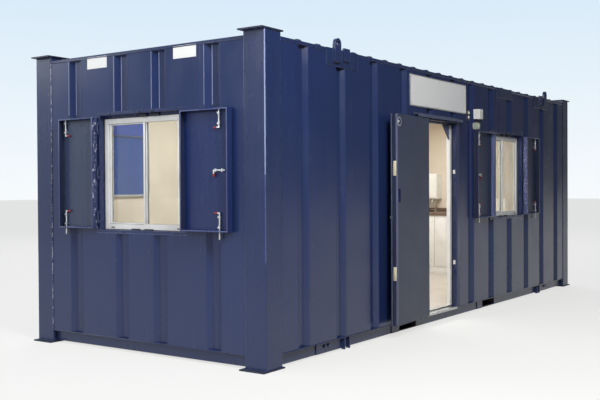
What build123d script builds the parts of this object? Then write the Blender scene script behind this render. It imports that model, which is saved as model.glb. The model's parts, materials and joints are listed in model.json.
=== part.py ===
from build123d import *
import math
import os

os.makedirs("parts", exist_ok=True)

# Portable site cabin. X runs along the cabin with the window end at -X and the door
# side at -Y. Z = 0 is the ground under the corner posts. Millimetres.

# ---------------------------------------------------------------- driving sizes
LENGTH = 7320.0            # over the corner post faces
WIDTH = 2740.0             # over the corner post faces
HEIGHT = 2700.0            # ground to the top of the cap plates
HALF_L = LENGTH / 2
HALF_W = WIDTH / 2

POST = 215.0               # square box post
POST_WALL = 6.0
POST_RADIUS = 8.0
PLATE = 12.0               # base and cap plates
PLATE_END = 50.0           # plate overhang past the post at the cabin ends
PLATE_SIDE = 10.0          # and at the long sides
PLATE_IN = 20.0            # and toward the middle
CAP_HOLE_R = 10.0          # lashing hole in each cap plate
POST_X = HALF_L - POST     # inner faces of the posts
POST_Y = HALF_W - POST

RAIL_LOW = 18.0            # underside of the bottom rails
RAIL_TOP = 118.0
RAIL_SET = 45.0            # rails sit this far behind the post face
RAIL_DEPTH = 60.0
RAIL_WALL = 6.0
FOOT_STRIP = 6.0           # strip under the foot of the wall sheets, and its gap to the rail
FOOT_GAP = 1.0
MEMBER = 50.0              # cross members
MEMBER_WALL = 5.0
MEMBER_PITCH = 520.0
RAIL_OUT_X = HALF_L - RAIL_SET
RAIL_OUT_Y = HALF_W - RAIL_SET
RAIL_IN_X = RAIL_OUT_X - RAIL_DEPTH
RAIL_IN_Y = RAIL_OUT_Y - RAIL_DEPTH

POCKETS = (-1250.0, 800.0)     # fork pocket centres
POCKET_INNER = 350.0
POCKET_WALL = 8.0
POCKET_OUTER = POCKET_INNER + 2 * POCKET_WALL
DOUBLER = 150.0
SMALL_GAP = 4.0

DECK = 20.0
DECK_TOP = RAIL_TOP + DECK
FACE_RECESS = 6.0          # wall faces sit behind the post faces
PANEL = 88.0               # insulated wall panel
LINING = 12.0
FACE_X = HALF_L - FACE_RECESS
FACE_Y = HALF_W - FACE_RECESS
INNER_X = FACE_X - PANEL
INNER_Y = FACE_Y - PANEL
ROOM_X = INNER_X - LINING
ROOM_Y = INNER_Y - LINING
TOP_RAIL = 28.0
ROOF_BASE = HEIGHT - 50.0
WALL_TOP = ROOF_BASE - TOP_RAIL
ROOF_SKIN = 3.0
ROOF_RIB = 13.0
ROOF_RIB_PITCH = 290.0
ROOF_RIB_FOOT = 45.0       # half widths of a rib
ROOF_RIB_HEAD = 25.0
CEILING_LOW = WALL_TOP - 62.0
THROUGH = 1.0              # how far a cutter runs past what it cuts

GROOVE_MOUTH = 150.0       # pressed grooves of the wall sheets
GROOVE_FLOOR = 75.0
GROOVE_DEPTH = 37.0
GROOVE_FIRST = 230.0       # first groove from the middle of a wall
SIDE_PITCH = 580.0
END_PITCH = 597.0

# Door, given closed; its hinge axis is at the left jamb
DOOR_CENTRE = -580.0
LEAF_W = 820.0
LEAF_T = 54.0
LEAF_LIP = 26.0            # outer skin past the body at the lock edge, and its depth
LEAF_LIP_T = 10.0
LEAF_LOW = 128.0
LEAF_TOP = 2145.0
DOOR_GAP = 5.0
DOOR_OPENING = LEAF_W + 2 * DOOR_GAP
REBATE_TOP = LEAF_TOP + DOOR_GAP
JAMB = 80.0
HEAD = 30.0
STOP = 30.0
DOOR_LEFT = DOOR_CENTRE - DOOR_OPENING / 2
DOOR_RIGHT = DOOR_CENTRE + DOOR_OPENING / 2
FRAME_LEFT = DOOR_LEFT - JAMB
FRAME_RIGHT = DOOR_RIGHT + JAMB
FRAME_TOP = REBATE_TOP + HEAD
HINGE_OUT = 16.0           # hinge axis in front of the wall face
HINGE_SIDE = 8.0           # and beside the leaf's edge
HINGE_X = DOOR_LEFT + DOOR_GAP - HINGE_SIDE
HINGE_Y = -FACE_Y - HINGE_OUT
OPEN_ANGLE = 175.7
KNUCKLE_R = 10.0
PIN_R = 5.0
PIN_GAP = 0.5
WING = 9.0                 # hinge plates
LEAF_KNUCKLE = 60.0
FRAME_KNUCKLE = 30.0
KNUCKLE_GAP = 1.0
WING_LENGTH = 60.0
HINGE_END = 220.0          # top and bottom hinge from the leaf's ends
HINGE_HEIGHTS = (LEAF_LOW + HINGE_END, (LEAF_LOW + LEAF_TOP) / 2, LEAF_TOP - HINGE_END)
STOP_Y = -FACE_Y + LEAF_T + DOOR_GAP     # front of the door stops
HEAD_STOP = 20.0
CLEAR_TOP = REBATE_TOP - HEAD_STOP
GUSSET = 165.0             # three-cornered plates under the door head
GUSSET_T = 8.0
GUSSET_SET = 12.0          # behind the front of the stops
THRESHOLD = 5.0
NOSE = 8.0                 # sill plate past the wall face, and its turned-down edge
NOSE_DROP = 18.0
HOOD_W = 1070.0            # rain hood
HOOD_SHIFT = 45.0
HOOD_OUT = 50.0
HOOD_SHEET = 3.0
HOOD_RISE = 26.0
HOOD_FALL = 6.0
HOOD_LIP = 25.0
PULL_EDGE = 40.0           # hand recess in the leaf's inner face
PULL_W = 70.0
PULL_DEPTH = 18.0
PULL_LOW = 1300.0
PULL_H = 134.0
DISC_R = 44.0              # round plate near the leaf's top corner
DISC_T = 6.0
DISC_EDGE = 77.0
DISC_DROP = 75.0
HANDLE_Z = 1160.0          # lever and its plate on the outer face
HANDLE_EDGE = 85.0
HANDLE_PLATE = 50.0
HANDLE_PLATE_H = 180.0
HANDLE_PLATE_T = 6.0
HANDLE_R = 11.0
HANDLE_OUT = 40.0
LEVER_T = 14.0
LEVER_W = 126.0
DEADLOCK_Z = 550.0         # lower lock case
DEADLOCK_SIZE = 60.0
DEADLOCK_T = 20.0

# Windows: one in the -X end, one in the door side
WINDOW_W = 1010.0
WINDOW_LOW = 1080.0
WINDOW_TOP = 2100.0
WINDOW_H = WINDOW_TOP - WINDOW_LOW
WINDOW_X = 1320.0          # centre of the door-side window
SURROUND_SIDE = 40.0
SURROUND_END = 30.0
SURROUND_W = WINDOW_W + 2 * SURROUND_SIDE
SURROUND_LOW = WINDOW_LOW - SURROUND_END
SURROUND_TOP = WINDOW_TOP + SURROUND_END
HEAD_BAND = 22.0           # steel strip over the window frame, and how far back it sits
HEAD_SET = 52.0
SASH_TOP = WINDOW_TOP - HEAD_BAND
SASH_SET = 60.0            # window frame behind the wall face
SASH_DEPTH = 40.0
SASH_RING = 50.0
SLIDER = 26.0              # stile of the sliding sash, and its rails
SLIDER_RAIL = 10.0
MEETING = 30.0
SLIDER_BACK = 12.0         # sliding sash behind the frame's front
GLASS = 6.0
GLASS_BACK = 24.0          # middle of the glass behind the frame's front

# Shutters: folded steel trays, one wide and one narrow at each window
SHUT_OUT = 20.0            # hinge axis in front of the wall face
SHUT_SIDE = 8.0            # and outside the opening edge
SHUT_EDGE = 14.0           # tray edge from the axis
SHUT_SKIN_OUT = 12.0       # outer skin from the axis
SHUT_SKIN = 3.0
SHUT_DEPTH = 62.0
SHUT_LIP = 4.0
SHUT_GAP = 26.0            # between the closed leaves
SHUT_WIDE = 514.0
SHUT_NARROW = WINDOW_W + 2 * SHUT_SIDE - 2 * SHUT_EDGE - SHUT_GAP - SHUT_WIDE
SHUT_END_GAP = 10.0
SHUT_LOW = WINDOW_LOW + SHUT_END_GAP
SHUT_TOP = WINDOW_TOP - SHUT_END_GAP
SHUT_KNUCKLE_R = 8.0
SHUT_PIN_R = 4.0
SHUT_KNUCKLE = 60.0
SHUT_ROOT = 26.0           # each of the two roots of a hinge
SHUT_ARM = 6.0
SHUT_HINGE_END = 100.0
SHUT_HEIGHTS = (SHUT_LOW + SHUT_HINGE_END, (SHUT_LOW + SHUT_TOP) / 2,
                SHUT_TOP - SHUT_HINGE_END)
ROD_R = 7.0
ROD_OUT = 15.0             # rod axis from the skin
ROD_GAP = 1.0
ROD_WIDE = 120.0           # rod from the free edge, wide and narrow leaf
ROD_NARROW = 56.0
ROD_Y = -SHUT_SKIN_OUT + SHUT_SKIN + ROD_OUT
BOLT_PLAY = 10.0           # top bolt below the tray's top
BOLT_LENGTH = 160.0        # reach of a bolt into the tray
BOLT_DROP = 60.0           # bottom bolt below the tray
HANDLE_REACH = 50.0
HANDLE_BAR = 6.0           # half thickness of a bolt handle, at the bolt's inner end
GUIDE_FIRST = 38.0         # two guides, from the bolt's inner end
GUIDE_STEP = 84.0
GUIDE_HALF = 7.0
GUIDE_WIDE = 13.0
GUIDE_COVER = 4.0
CROSS_BOLT = 126.0
CROSS_GUIDE = 35.0

# Lifting eyes and lower brackets, four of each
EYE_INSET = 810.0
EYE_X = POST_X - EYE_INSET
EYE_W = 94.0
EYE_T = 28.0
EYE_CENTRE = HEIGHT - 2.0
EYE_DROP = 160.0           # foot of the eye, of its pad and of the block, from the top
EYE_LOW = HEIGHT - EYE_DROP
EYE_HOLE_R = 25.0
PAD_IN = 370.0             # pad plate from the eye, toward the middle and the post
PAD_OUT = 145.0
PAD_DROP = 200.0
PAD_LOW = HEIGHT - PAD_DROP
PAD_TOP = ROOF_BASE + 5.0
BOSS_NEAR = 110.0          # block on the pad, toward the middle
BOSS_W = 95.0
BOSS_T = 20.0
BOSS_DROP = 140.0
BOSS_H = 112.0
BOSS_LOW = HEIGHT - BOSS_DROP
BOSS_TOP = BOSS_LOW + BOSS_H
BRACKET_MID = EYE_X + 5.0
BRACKET_W = 540.0
BRACKET_T = 8.0
BRACKET_TOP = RAIL_TOP - FOOT_STRIP - SMALL_GAP
FIN_FIRST = 150.0          # two upright fins, toward the middle
FIN_STEP = 80.0
FIN_T = 12.0
FIN_OUT = 36.0
FIN_DROP = 12.0
BOLT_FIRST = 80.0          # two bolt heads, toward the post
BOLT_STEP = 60.0
BOLT_R = 15.0
BOLT_T = 12.0
BOLT_Z = 74.0
COVER_W = 490.0            # cover plate over the groove above the window
COVER_SHIFT = 95.0
COVER_LOW = PAD_LOW + 30.0

# Electrical boxes and plates on the walls
JUNCTION_X = GROOVE_FIRST + GROOVE_MOUTH / 2
JUNCTION_W = 100.0
JUNCTION_T = 72.0
JUNCTION_LOW = FRAME_TOP + 46.0
JUNCTION_H = 112.0
INLET_SHIFT = -15.0
INLET_W = 50.0
INLET_T = 60.0
INLET_LOW = FRAME_TOP - 74.0
INLET_H = 75.0
LAMP_X = GROOVE_FIRST - 85.0
LAMP_W = 60.0
LAMP_T = 8.0
LAMP_LOW = FRAME_TOP + 25.0
LAMP_H = 110.0
LAMP_R = 15.0
LAMP_STEP = 50.0
LABEL_IN = 403.0           # two blank labels on the window end
LABEL_W = 254.0
LABEL_T = 3.0
LABEL_LOW = WALL_TOP - 91.0
LABEL_H = 105.0
BOARD_W = 1340.0           # blank board over the door
BOARD_T = 4.0
BOARD_LOW = FRAME_TOP + 88.0
BOARD_TOP = WALL_TOP - 32.0
UNIT_DEEP = 540.0          # wash unit and water heater on the far end wall
UNIT_LEFT = 140.0
UNIT_TOP = 1057.0
UNIT_CORNER = 3.0          # unit to the boxing of the post
WORKTOP = 40.0
WORKTOP_OUT = 30.0
HEATER_LEFT = 600.0
HEATER_W = 280.0
HEATER_T = 190.0
HEATER_LOW = 1270.0
HEATER_H = 390.0
NOTICE_W = 1145.0          # felt board inside, on the back wall
NOTICE_T = 18.0
NOTICE_LOW = 1360.0
NOTICE_H = 900.0


def block(x0, x1, y0, y1, z0, z1, mode=Mode.ADD):
    """A square-cornered block between two opposite corners."""
    with Locations(((x0 + x1) / 2, (y0 + y1) / 2, (z0 + z1) / 2)):
        Box(abs(x1 - x0), abs(y1 - y0), abs(z1 - z0), mode=mode)


def raise_plan(points, low, top, mode=Mode.ADD):
    """A straight-sided solid raised from a plan outline."""
    with BuildSketch(Plane.XY.offset(low)) as plan:
        with BuildLine():
            Polyline(*points, close=True)
        make_face()
    extrude(plan.sketch, amount=top - low, mode=mode)


def notched(half_x, half_y, corner_x, corner_y):
    """A rectangle with its four corners cut out for the posts."""
    return [
        (-corner_x, -half_y), (corner_x, -half_y), (corner_x, -corner_y),
        (half_x, -corner_y), (half_x, corner_y), (corner_x, corner_y),
        (corner_x, half_y), (-corner_x, half_y), (-corner_x, corner_y),
        (-half_x, corner_y), (-half_x, -corner_y), (-corner_x, -corner_y),
    ]


def wall_plan(half_run, grooves, face, inner, along_x=True):
    """Plan of a wall with pressed grooves in its outer face."""
    floor = face - math.copysign(GROOVE_DEPTH, face)
    points = [(-half_run, face)]
    for centre in grooves:
        points.append((centre - GROOVE_MOUTH / 2, face))
        points.append((centre - GROOVE_FLOOR / 2, floor))
        points.append((centre + GROOVE_FLOOR / 2, floor))
        points.append((centre + GROOVE_MOUTH / 2, face))
    points += [(half_run, face), (half_run, inner), (-half_run, inner)]
    return points if along_x else [(y, x) for x, y in points]


def groove_centres(half_run, pitch):
    """Groove centres on both sides of a wall's middle, as many as fit whole."""
    count = int((half_run - GROOVE_MOUTH / 2 - GROOVE_FIRST) // pitch) + 1
    return sorted(side * (GROOVE_FIRST + pitch * k) for k in range(count) for side in (-1, 1))


SIDE_GROOVES = groove_centres(POST_X, SIDE_PITCH)
END_GROOVES = groove_centres(POST_Y, END_PITCH)
FRONT_PLAN = wall_plan(POST_X, SIDE_GROOVES, -FACE_Y, -INNER_Y)
BACK_PLAN = wall_plan(POST_X, SIDE_GROOVES, FACE_Y, INNER_Y)
WINDOW_END_PLAN = wall_plan(POST_Y, END_GROOVES, -FACE_X, -INNER_X, along_x=False)
FAR_END_PLAN = wall_plan(POST_Y, END_GROOVES, FACE_X, INNER_X, along_x=False)


def front_panel(x0, x1, low, top):
    """The part of the door-side wall between two positions."""
    raise_plan(FRONT_PLAN, low, top)
    block(x0, x1, -HALF_W, -ROOM_Y, low, top, mode=Mode.INTERSECT)


# ---------------------------------------------------------------- steel frame
POST_SPOTS = [(sx * (HALF_L - POST / 2), sy * (HALF_W - POST / 2))
              for sx in (-1, 1) for sy in (-1, 1)]

with BuildPart() as corner_posts:
    with BuildSketch(Plane.XY.offset(PLATE)):
        with Locations(*POST_SPOTS):
            RectangleRounded(POST, POST, POST_RADIUS)
            Rectangle(POST - 2 * POST_WALL, POST - 2 * POST_WALL, mode=Mode.SUBTRACT)
    extrude(amount=HEIGHT - 2 * PLATE)


def corner_plates(low, top):
    """Square plates over or under the four posts, wider toward the cabin ends."""
    for sx, sy in [(-1, -1), (-1, 1), (1, -1), (1, 1)]:
        block(sx * (POST_X - PLATE_IN), sx * (HALF_L + PLATE_END),
              sy * (POST_Y - PLATE_IN), sy * (HALF_W + PLATE_SIDE), low, top)


with BuildPart() as base_plates:
    corner_plates(0, PLATE)

CAP_HOLES = [(sx * (HALF_L + PLATE_END / 2), sy * (HALF_W - POST / 2))
             for sx in (-1, 1) for sy in (-1, 1)]
with BuildPart() as cap_plates:
    corner_plates(HEIGHT - PLATE, HEIGHT)
    with Locations(*[(x, y, HEIGHT - PLATE / 2) for x, y in CAP_HOLES]):
        Cylinder(CAP_HOLE_R, 2 * PLATE, mode=Mode.SUBTRACT)

POCKET_EDGES = [(c - POCKET_OUTER / 2, c + POCKET_OUTER / 2) for c in POCKETS]
RAIL_RUNS = [(-POST_X, POCKET_EDGES[0][0]), (POCKET_EDGES[0][1], POCKET_EDGES[1][0]),
             (POCKET_EDGES[1][1], POST_X)]

with BuildPart() as bottom_side_rails:
    for side in (-1, 1):
        for start, end in RAIL_RUNS:
            block(start, end, side * RAIL_IN_Y, side * RAIL_OUT_Y, RAIL_LOW, RAIL_TOP)
            block(start, end, side * RAIL_IN_Y, side * (RAIL_OUT_Y - RAIL_WALL),
                  RAIL_LOW + RAIL_WALL, RAIL_TOP - RAIL_WALL, mode=Mode.SUBTRACT)
        block(-POST_X, POST_X, side * (RAIL_OUT_Y + FOOT_GAP), side * FACE_Y,
              RAIL_TOP - FOOT_STRIP, RAIL_TOP)

with BuildPart() as bottom_end_rails:
    for side in (-1, 1):
        block(side * RAIL_IN_X, side * RAIL_OUT_X, -POST_Y, POST_Y, RAIL_LOW, RAIL_TOP)
        block(side * RAIL_IN_X, side * (RAIL_OUT_X - RAIL_WALL), -POST_Y, POST_Y,
              RAIL_LOW + RAIL_WALL, RAIL_TOP - RAIL_WALL, mode=Mode.SUBTRACT)
        block(side * (RAIL_OUT_X + FOOT_GAP), side * FACE_X, -POST_Y, POST_Y,
              RAIL_TOP - FOOT_STRIP, RAIL_TOP)

member_reach = int((POST_X - MEMBER) // MEMBER_PITCH)
MEMBERS = [k * MEMBER_PITCH for k in range(-member_reach, member_reach + 1)]
MEMBERS = [x for x in MEMBERS
           if all(abs(x - c) > (POCKET_OUTER + MEMBER) / 2 + SMALL_GAP for c in POCKETS)]
with BuildPart() as cross_members:
    for x in MEMBERS:
        block(x - MEMBER / 2, x + MEMBER / 2, -RAIL_IN_Y, RAIL_IN_Y, RAIL_LOW, RAIL_TOP)
        block(x - MEMBER / 2 + MEMBER_WALL, x + MEMBER / 2, -RAIL_IN_Y, RAIL_IN_Y,
              RAIL_LOW + MEMBER_WALL, RAIL_TOP - MEMBER_WALL, mode=Mode.SUBTRACT)

with BuildPart() as fork_pockets:
    for start, end in POCKET_EDGES:
        block(start, end, -RAIL_OUT_Y, RAIL_OUT_Y, RAIL_LOW, RAIL_TOP)
        block(start + POCKET_WALL, end - POCKET_WALL, -RAIL_OUT_Y, RAIL_OUT_Y,
              RAIL_LOW + POCKET_WALL, RAIL_TOP - POCKET_WALL, mode=Mode.SUBTRACT)

# ---------------------------------------------------------------- floor and roof
with BuildPart() as floor_deck:
    raise_plan(notched(INNER_X, INNER_Y, POST_X, POST_Y), RAIL_TOP, DECK_TOP)

with BuildPart() as top_rails:
    for side in (-1, 1):
        block(-POST_X, POST_X, side * INNER_Y, side * FACE_Y, WALL_TOP, ROOF_BASE)
        block(side * INNER_X, side * FACE_X, -POST_Y, POST_Y, WALL_TOP, ROOF_BASE)

roof_line = [(-FACE_X, ROOF_BASE), (-FACE_X, ROOF_BASE + ROOF_SKIN)]
rib_reach = int((POST_X - ROOF_RIB_FOOT) // ROOF_RIB_PITCH)
for rib in range(-rib_reach, rib_reach + 1):
    middle = rib * ROOF_RIB_PITCH
    roof_line.append((middle - ROOF_RIB_FOOT, ROOF_BASE + ROOF_SKIN))
    roof_line.append((middle - ROOF_RIB_HEAD, ROOF_BASE + ROOF_RIB))
    roof_line.append((middle + ROOF_RIB_HEAD, ROOF_BASE + ROOF_RIB))
    roof_line.append((middle + ROOF_RIB_FOOT, ROOF_BASE + ROOF_SKIN))
roof_line += [(FACE_X, ROOF_BASE + ROOF_SKIN), (FACE_X, ROOF_BASE)]
with BuildPart() as roof_sheet:
    with BuildSketch(Plane.XZ.offset(FACE_Y)):
        with BuildLine():
            Polyline(*roof_line, close=True)
        make_face()
    extrude(amount=-2 * FACE_Y)
    for sx, sy in [(-1, -1), (-1, 1), (1, -1), (1, 1)]:
        block(sx * POST_X, sx * (FACE_X + PLATE_END), sy * POST_Y, sy * (FACE_Y + PLATE_END),
              ROOF_BASE - PLATE, ROOF_BASE + 2 * ROOF_RIB, mode=Mode.SUBTRACT)

with BuildPart() as ceiling_lining:
    raise_plan(notched(INNER_X, INNER_Y, POST_X, POST_Y), CEILING_LOW, CEILING_LOW + LINING)

# ---------------------------------------------------------------- walls
INFILL_LEFT = WINDOW_X - SURROUND_W / 2
INFILL_RIGHT = WINDOW_X + SURROUND_W / 2

with BuildPart() as front_wall_left:
    front_panel(-POST_X, FRAME_LEFT, RAIL_TOP, WALL_TOP)

with BuildPart() as front_wall_over_door:
    front_panel(FRAME_LEFT, FRAME_RIGHT, FRAME_TOP, WALL_TOP)

with BuildPart() as front_wall_middle:
    front_panel(FRAME_RIGHT, INFILL_LEFT, RAIL_TOP, WALL_TOP)

with BuildPart() as front_window_infills:
    raise_plan(FRONT_PLAN, RAIL_TOP, SURROUND_LOW)
    raise_plan(FRONT_PLAN, SURROUND_TOP, WALL_TOP)
    block(INFILL_LEFT, INFILL_RIGHT, -HALF_W, -ROOM_Y, RAIL_TOP, WALL_TOP,
          mode=Mode.INTERSECT)

with BuildPart() as front_wall_right:
    front_panel(INFILL_RIGHT, POST_X, RAIL_TOP, WALL_TOP)

with BuildPart() as window_end_sides:
    raise_plan(WINDOW_END_PLAN, RAIL_TOP, WALL_TOP)
    block(-HALF_L, -ROOM_X, -SURROUND_W / 2, SURROUND_W / 2,
          RAIL_TOP - THROUGH, WALL_TOP + THROUGH,
          mode=Mode.SUBTRACT)

with BuildPart() as window_end_infills:
    raise_plan(WINDOW_END_PLAN, RAIL_TOP, SURROUND_LOW)
    raise_plan(WINDOW_END_PLAN, SURROUND_TOP, WALL_TOP)
    block(-HALF_L, -ROOM_X, -SURROUND_W / 2, SURROUND_W / 2, RAIL_TOP, WALL_TOP,
          mode=Mode.INTERSECT)

with BuildPart() as back_wall:
    raise_plan(BACK_PLAN, RAIL_TOP, WALL_TOP)

with BuildPart() as far_end_wall:
    raise_plan(FAR_END_PLAN, RAIL_TOP, WALL_TOP)

with BuildPart() as wall_lining:
    raise_plan(notched(INNER_X, INNER_Y, POST_X, POST_Y), DECK_TOP, CEILING_LOW)
    raise_plan(notched(ROOM_X, ROOM_Y, POST_X - LINING, POST_Y - LINING),
               DECK_TOP, CEILING_LOW, mode=Mode.SUBTRACT)
    block(FRAME_LEFT, FRAME_RIGHT, -INNER_Y - THROUGH, -ROOM_Y + THROUGH,
          DECK_TOP - THROUGH, FRAME_TOP, mode=Mode.SUBTRACT)
    block(WINDOW_X - WINDOW_W / 2, WINDOW_X + WINDOW_W / 2,
          -INNER_Y - THROUGH, -ROOM_Y + THROUGH, WINDOW_LOW, WINDOW_TOP, mode=Mode.SUBTRACT)
    block(-INNER_X - THROUGH, -ROOM_X + THROUGH, -WINDOW_W / 2, WINDOW_W / 2,
          WINDOW_LOW, WINDOW_TOP, mode=Mode.SUBTRACT)

# ---------------------------------------------------------------- doorway
with BuildPart() as door_frame:
    block(FRAME_LEFT, FRAME_RIGHT, -FACE_Y, -ROOM_Y, RAIL_TOP, FRAME_TOP)
    block(DOOR_LEFT, DOOR_RIGHT, -FACE_Y - THROUGH, STOP_Y, RAIL_TOP - THROUGH, REBATE_TOP,
          mode=Mode.SUBTRACT)
    block(DOOR_LEFT + STOP, DOOR_RIGHT - STOP, STOP_Y - THROUGH, -ROOM_Y + THROUGH,
          RAIL_TOP - THROUGH, CLEAR_TOP, mode=Mode.SUBTRACT)
    block(DOOR_LEFT, DOOR_RIGHT, STOP_Y - THROUGH, -INNER_Y, RAIL_TOP - THROUGH, DECK_TOP,
          mode=Mode.SUBTRACT)
    block(FRAME_LEFT - THROUGH, FRAME_RIGHT + THROUGH, -INNER_Y, -ROOM_Y + THROUGH,
          RAIL_TOP - THROUGH, DECK_TOP, mode=Mode.SUBTRACT)
    for edge, step in ((DOOR_LEFT + STOP, 1), (DOOR_RIGHT - STOP, -1)):
        with BuildSketch(Plane.XZ.offset(-STOP_Y - GUSSET_SET)):
            with BuildLine():
                Polyline((edge, CLEAR_TOP), (edge + step * GUSSET, CLEAR_TOP),
                         (edge, CLEAR_TOP - GUSSET), close=True)
            make_face()
        extrude(amount=-GUSSET_T)

with BuildPart() as door_threshold:
    with BuildSketch(Plane.YZ.offset(DOOR_LEFT)):
        with BuildLine():
            Polyline((-FACE_Y - NOSE, RAIL_TOP - NOSE_DROP),
                     (-FACE_Y - NOSE, RAIL_TOP + THRESHOLD),
                     (STOP_Y, RAIL_TOP + THRESHOLD), (STOP_Y, DECK_TOP),
                     (-INNER_Y, DECK_TOP), (-INNER_Y, RAIL_TOP), (-FACE_Y, RAIL_TOP),
                     (-FACE_Y, RAIL_TOP - NOSE_DROP), close=True)
        make_face()
    extrude(amount=DOOR_OPENING)

# Rain hood: a flange on the wall, a falling sheet and a lip turned down in front
back, front = -FACE_Y - HOOD_SHEET, -FACE_Y - HOOD_OUT
crown = FRAME_TOP + HOOD_RISE / 2
with BuildPart() as door_hood:
    with BuildSketch(Plane.YZ.offset(DOOR_CENTRE - HOOD_SHIFT - HOOD_W / 2)):
        with BuildLine():
            Polyline((-FACE_Y, FRAME_TOP), (-FACE_Y, FRAME_TOP + HOOD_RISE),
                     (back, FRAME_TOP + HOOD_RISE), (back, crown),
                     (front, crown - HOOD_FALL), (front, crown - HOOD_FALL - HOOD_LIP),
                     (front + HOOD_SHEET, crown - HOOD_FALL - HOOD_LIP),
                     (front + HOOD_SHEET, crown - HOOD_FALL - HOOD_SHEET),
                     (back, crown - HOOD_SHEET), (back, FRAME_TOP), close=True)
        make_face()
    extrude(amount=HOOD_W)

with BuildPart() as door_hinges:
    for height in HINGE_HEIGHTS:
        for side in (-1, 1):
            middle = height + side * (LEAF_KNUCKLE / 2 + KNUCKLE_GAP + FRAME_KNUCKLE / 2)
            with Locations((HINGE_X, HINGE_Y, middle)):
                Cylinder(KNUCKLE_R, FRAME_KNUCKLE)
            block(HINGE_X - WING_LENGTH, HINGE_X, -FACE_Y - WING, -FACE_Y,
                  middle - FRAME_KNUCKLE / 2, middle + FRAME_KNUCKLE / 2)
        with Locations((HINGE_X, HINGE_Y, height)):
            Cylinder(PIN_R, LEAF_KNUCKLE + 2 * FRAME_KNUCKLE)

# ---------------------------------------------------------------- door leaf, standing open
swing = math.radians(OPEN_ANGLE)
DOOR_PLANE = Plane(origin=(HINGE_X, HINGE_Y, 0),
                   x_dir=(math.cos(swing), -math.sin(swing), 0), z_dir=(0, 0, 1))
LEAF_OUT = HINGE_OUT                     # outer and inner faces, from the hinge axis
LEAF_IN = HINGE_OUT + LEAF_T
LEAF_END = HINGE_SIDE + LEAF_W
PULL_X = LEAF_END - PULL_EDGE

with BuildPart(DOOR_PLANE) as door_leaf:
    block(HINGE_SIDE, LEAF_END, LEAF_OUT, LEAF_IN, LEAF_LOW, LEAF_TOP)
    block(LEAF_END - LEAF_LIP, LEAF_END + THROUGH, LEAF_OUT + LEAF_LIP_T, LEAF_IN + THROUGH,
          LEAF_LOW - THROUGH, LEAF_TOP + THROUGH, mode=Mode.SUBTRACT)
    block(PULL_X - PULL_W, PULL_X, LEAF_IN - PULL_DEPTH, LEAF_IN + THROUGH,
          PULL_LOW, PULL_LOW + PULL_H, mode=Mode.SUBTRACT)
    for height in HINGE_HEIGHTS:
        block(0, WING_LENGTH, LEAF_OUT - WING, LEAF_OUT,
              height - LEAF_KNUCKLE / 2, height + LEAF_KNUCKLE / 2)
        with Locations((0, 0, height)):
            Cylinder(KNUCKLE_R, LEAF_KNUCKLE)
            Cylinder(PIN_R + PIN_GAP, LEAF_KNUCKLE, mode=Mode.SUBTRACT)

HANDLE_X = LEAF_END - HANDLE_EDGE
with BuildPart(DOOR_PLANE) as door_fittings:
    disc = (LEAF_END - DISC_EDGE, LEAF_IN + DISC_T / 2, LEAF_TOP - DISC_DROP)
    with Locations(Location(disc, (90, 0, 0))):
        Cylinder(DISC_R, DISC_T)
    block(HANDLE_X - HANDLE_PLATE / 2, HANDLE_X + HANDLE_PLATE / 2,
          LEAF_OUT - HANDLE_PLATE_T, LEAF_OUT,
          HANDLE_Z - HANDLE_PLATE_H * 2 / 3, HANDLE_Z + HANDLE_PLATE_H / 3)
    with Locations(Location((HANDLE_X, LEAF_OUT - HANDLE_OUT / 2, HANDLE_Z), (90, 0, 0))):
        Cylinder(HANDLE_R, HANDLE_OUT)
    block(HANDLE_X + HANDLE_R - LEVER_W, HANDLE_X + HANDLE_R,
          LEAF_OUT - HANDLE_OUT, LEAF_OUT - HANDLE_OUT + LEVER_T,
          HANDLE_Z - HANDLE_R, HANDLE_Z + HANDLE_R)
    block(HANDLE_X - DEADLOCK_SIZE / 2, HANDLE_X + DEADLOCK_SIZE / 2,
          LEAF_OUT - DEADLOCK_T, LEAF_OUT,
          DEADLOCK_Z - DEADLOCK_SIZE / 2, DEADLOCK_Z + DEADLOCK_SIZE / 2)

# ---------------------------------------------------------------- windows
END_WINDOW = Plane(origin=(-FACE_X, 0, 0), x_dir=(0, -1, 0), z_dir=(-1, 0, 0))
FRONT_WINDOW = Plane(origin=(WINDOW_X, -FACE_Y, 0), x_dir=(1, 0, 0), z_dir=(0, -1, 0))

with BuildPart() as window_surrounds:
    block(-FACE_X, -INNER_X, -SURROUND_W / 2, SURROUND_W / 2, SURROUND_LOW, SURROUND_TOP)
    block(-FACE_X - THROUGH, -INNER_X + THROUGH, -WINDOW_W / 2, WINDOW_W / 2,
          WINDOW_LOW, WINDOW_TOP, mode=Mode.SUBTRACT)
    block(-FACE_X + HEAD_SET, -INNER_X, -WINDOW_W / 2, WINDOW_W / 2, SASH_TOP, WINDOW_TOP)
    block(INFILL_LEFT, INFILL_RIGHT, -FACE_Y, -INNER_Y, SURROUND_LOW, SURROUND_TOP)
    block(WINDOW_X - WINDOW_W / 2, WINDOW_X + WINDOW_W / 2,
          -FACE_Y - THROUGH, -INNER_Y + THROUGH, WINDOW_LOW, WINDOW_TOP, mode=Mode.SUBTRACT)
    block(WINDOW_X - WINDOW_W / 2, WINDOW_X + WINDOW_W / 2,
          -FACE_Y + HEAD_SET, -INNER_Y, SASH_TOP, WINDOW_TOP)

# Sash windows in window coordinates: x to the right seen from outside, y up, z out
PANE_LOW = WINDOW_LOW + SASH_RING
PANE_TOP = SASH_TOP - SASH_RING
PANE_SIDE = WINDOW_W / 2 - SASH_RING


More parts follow.
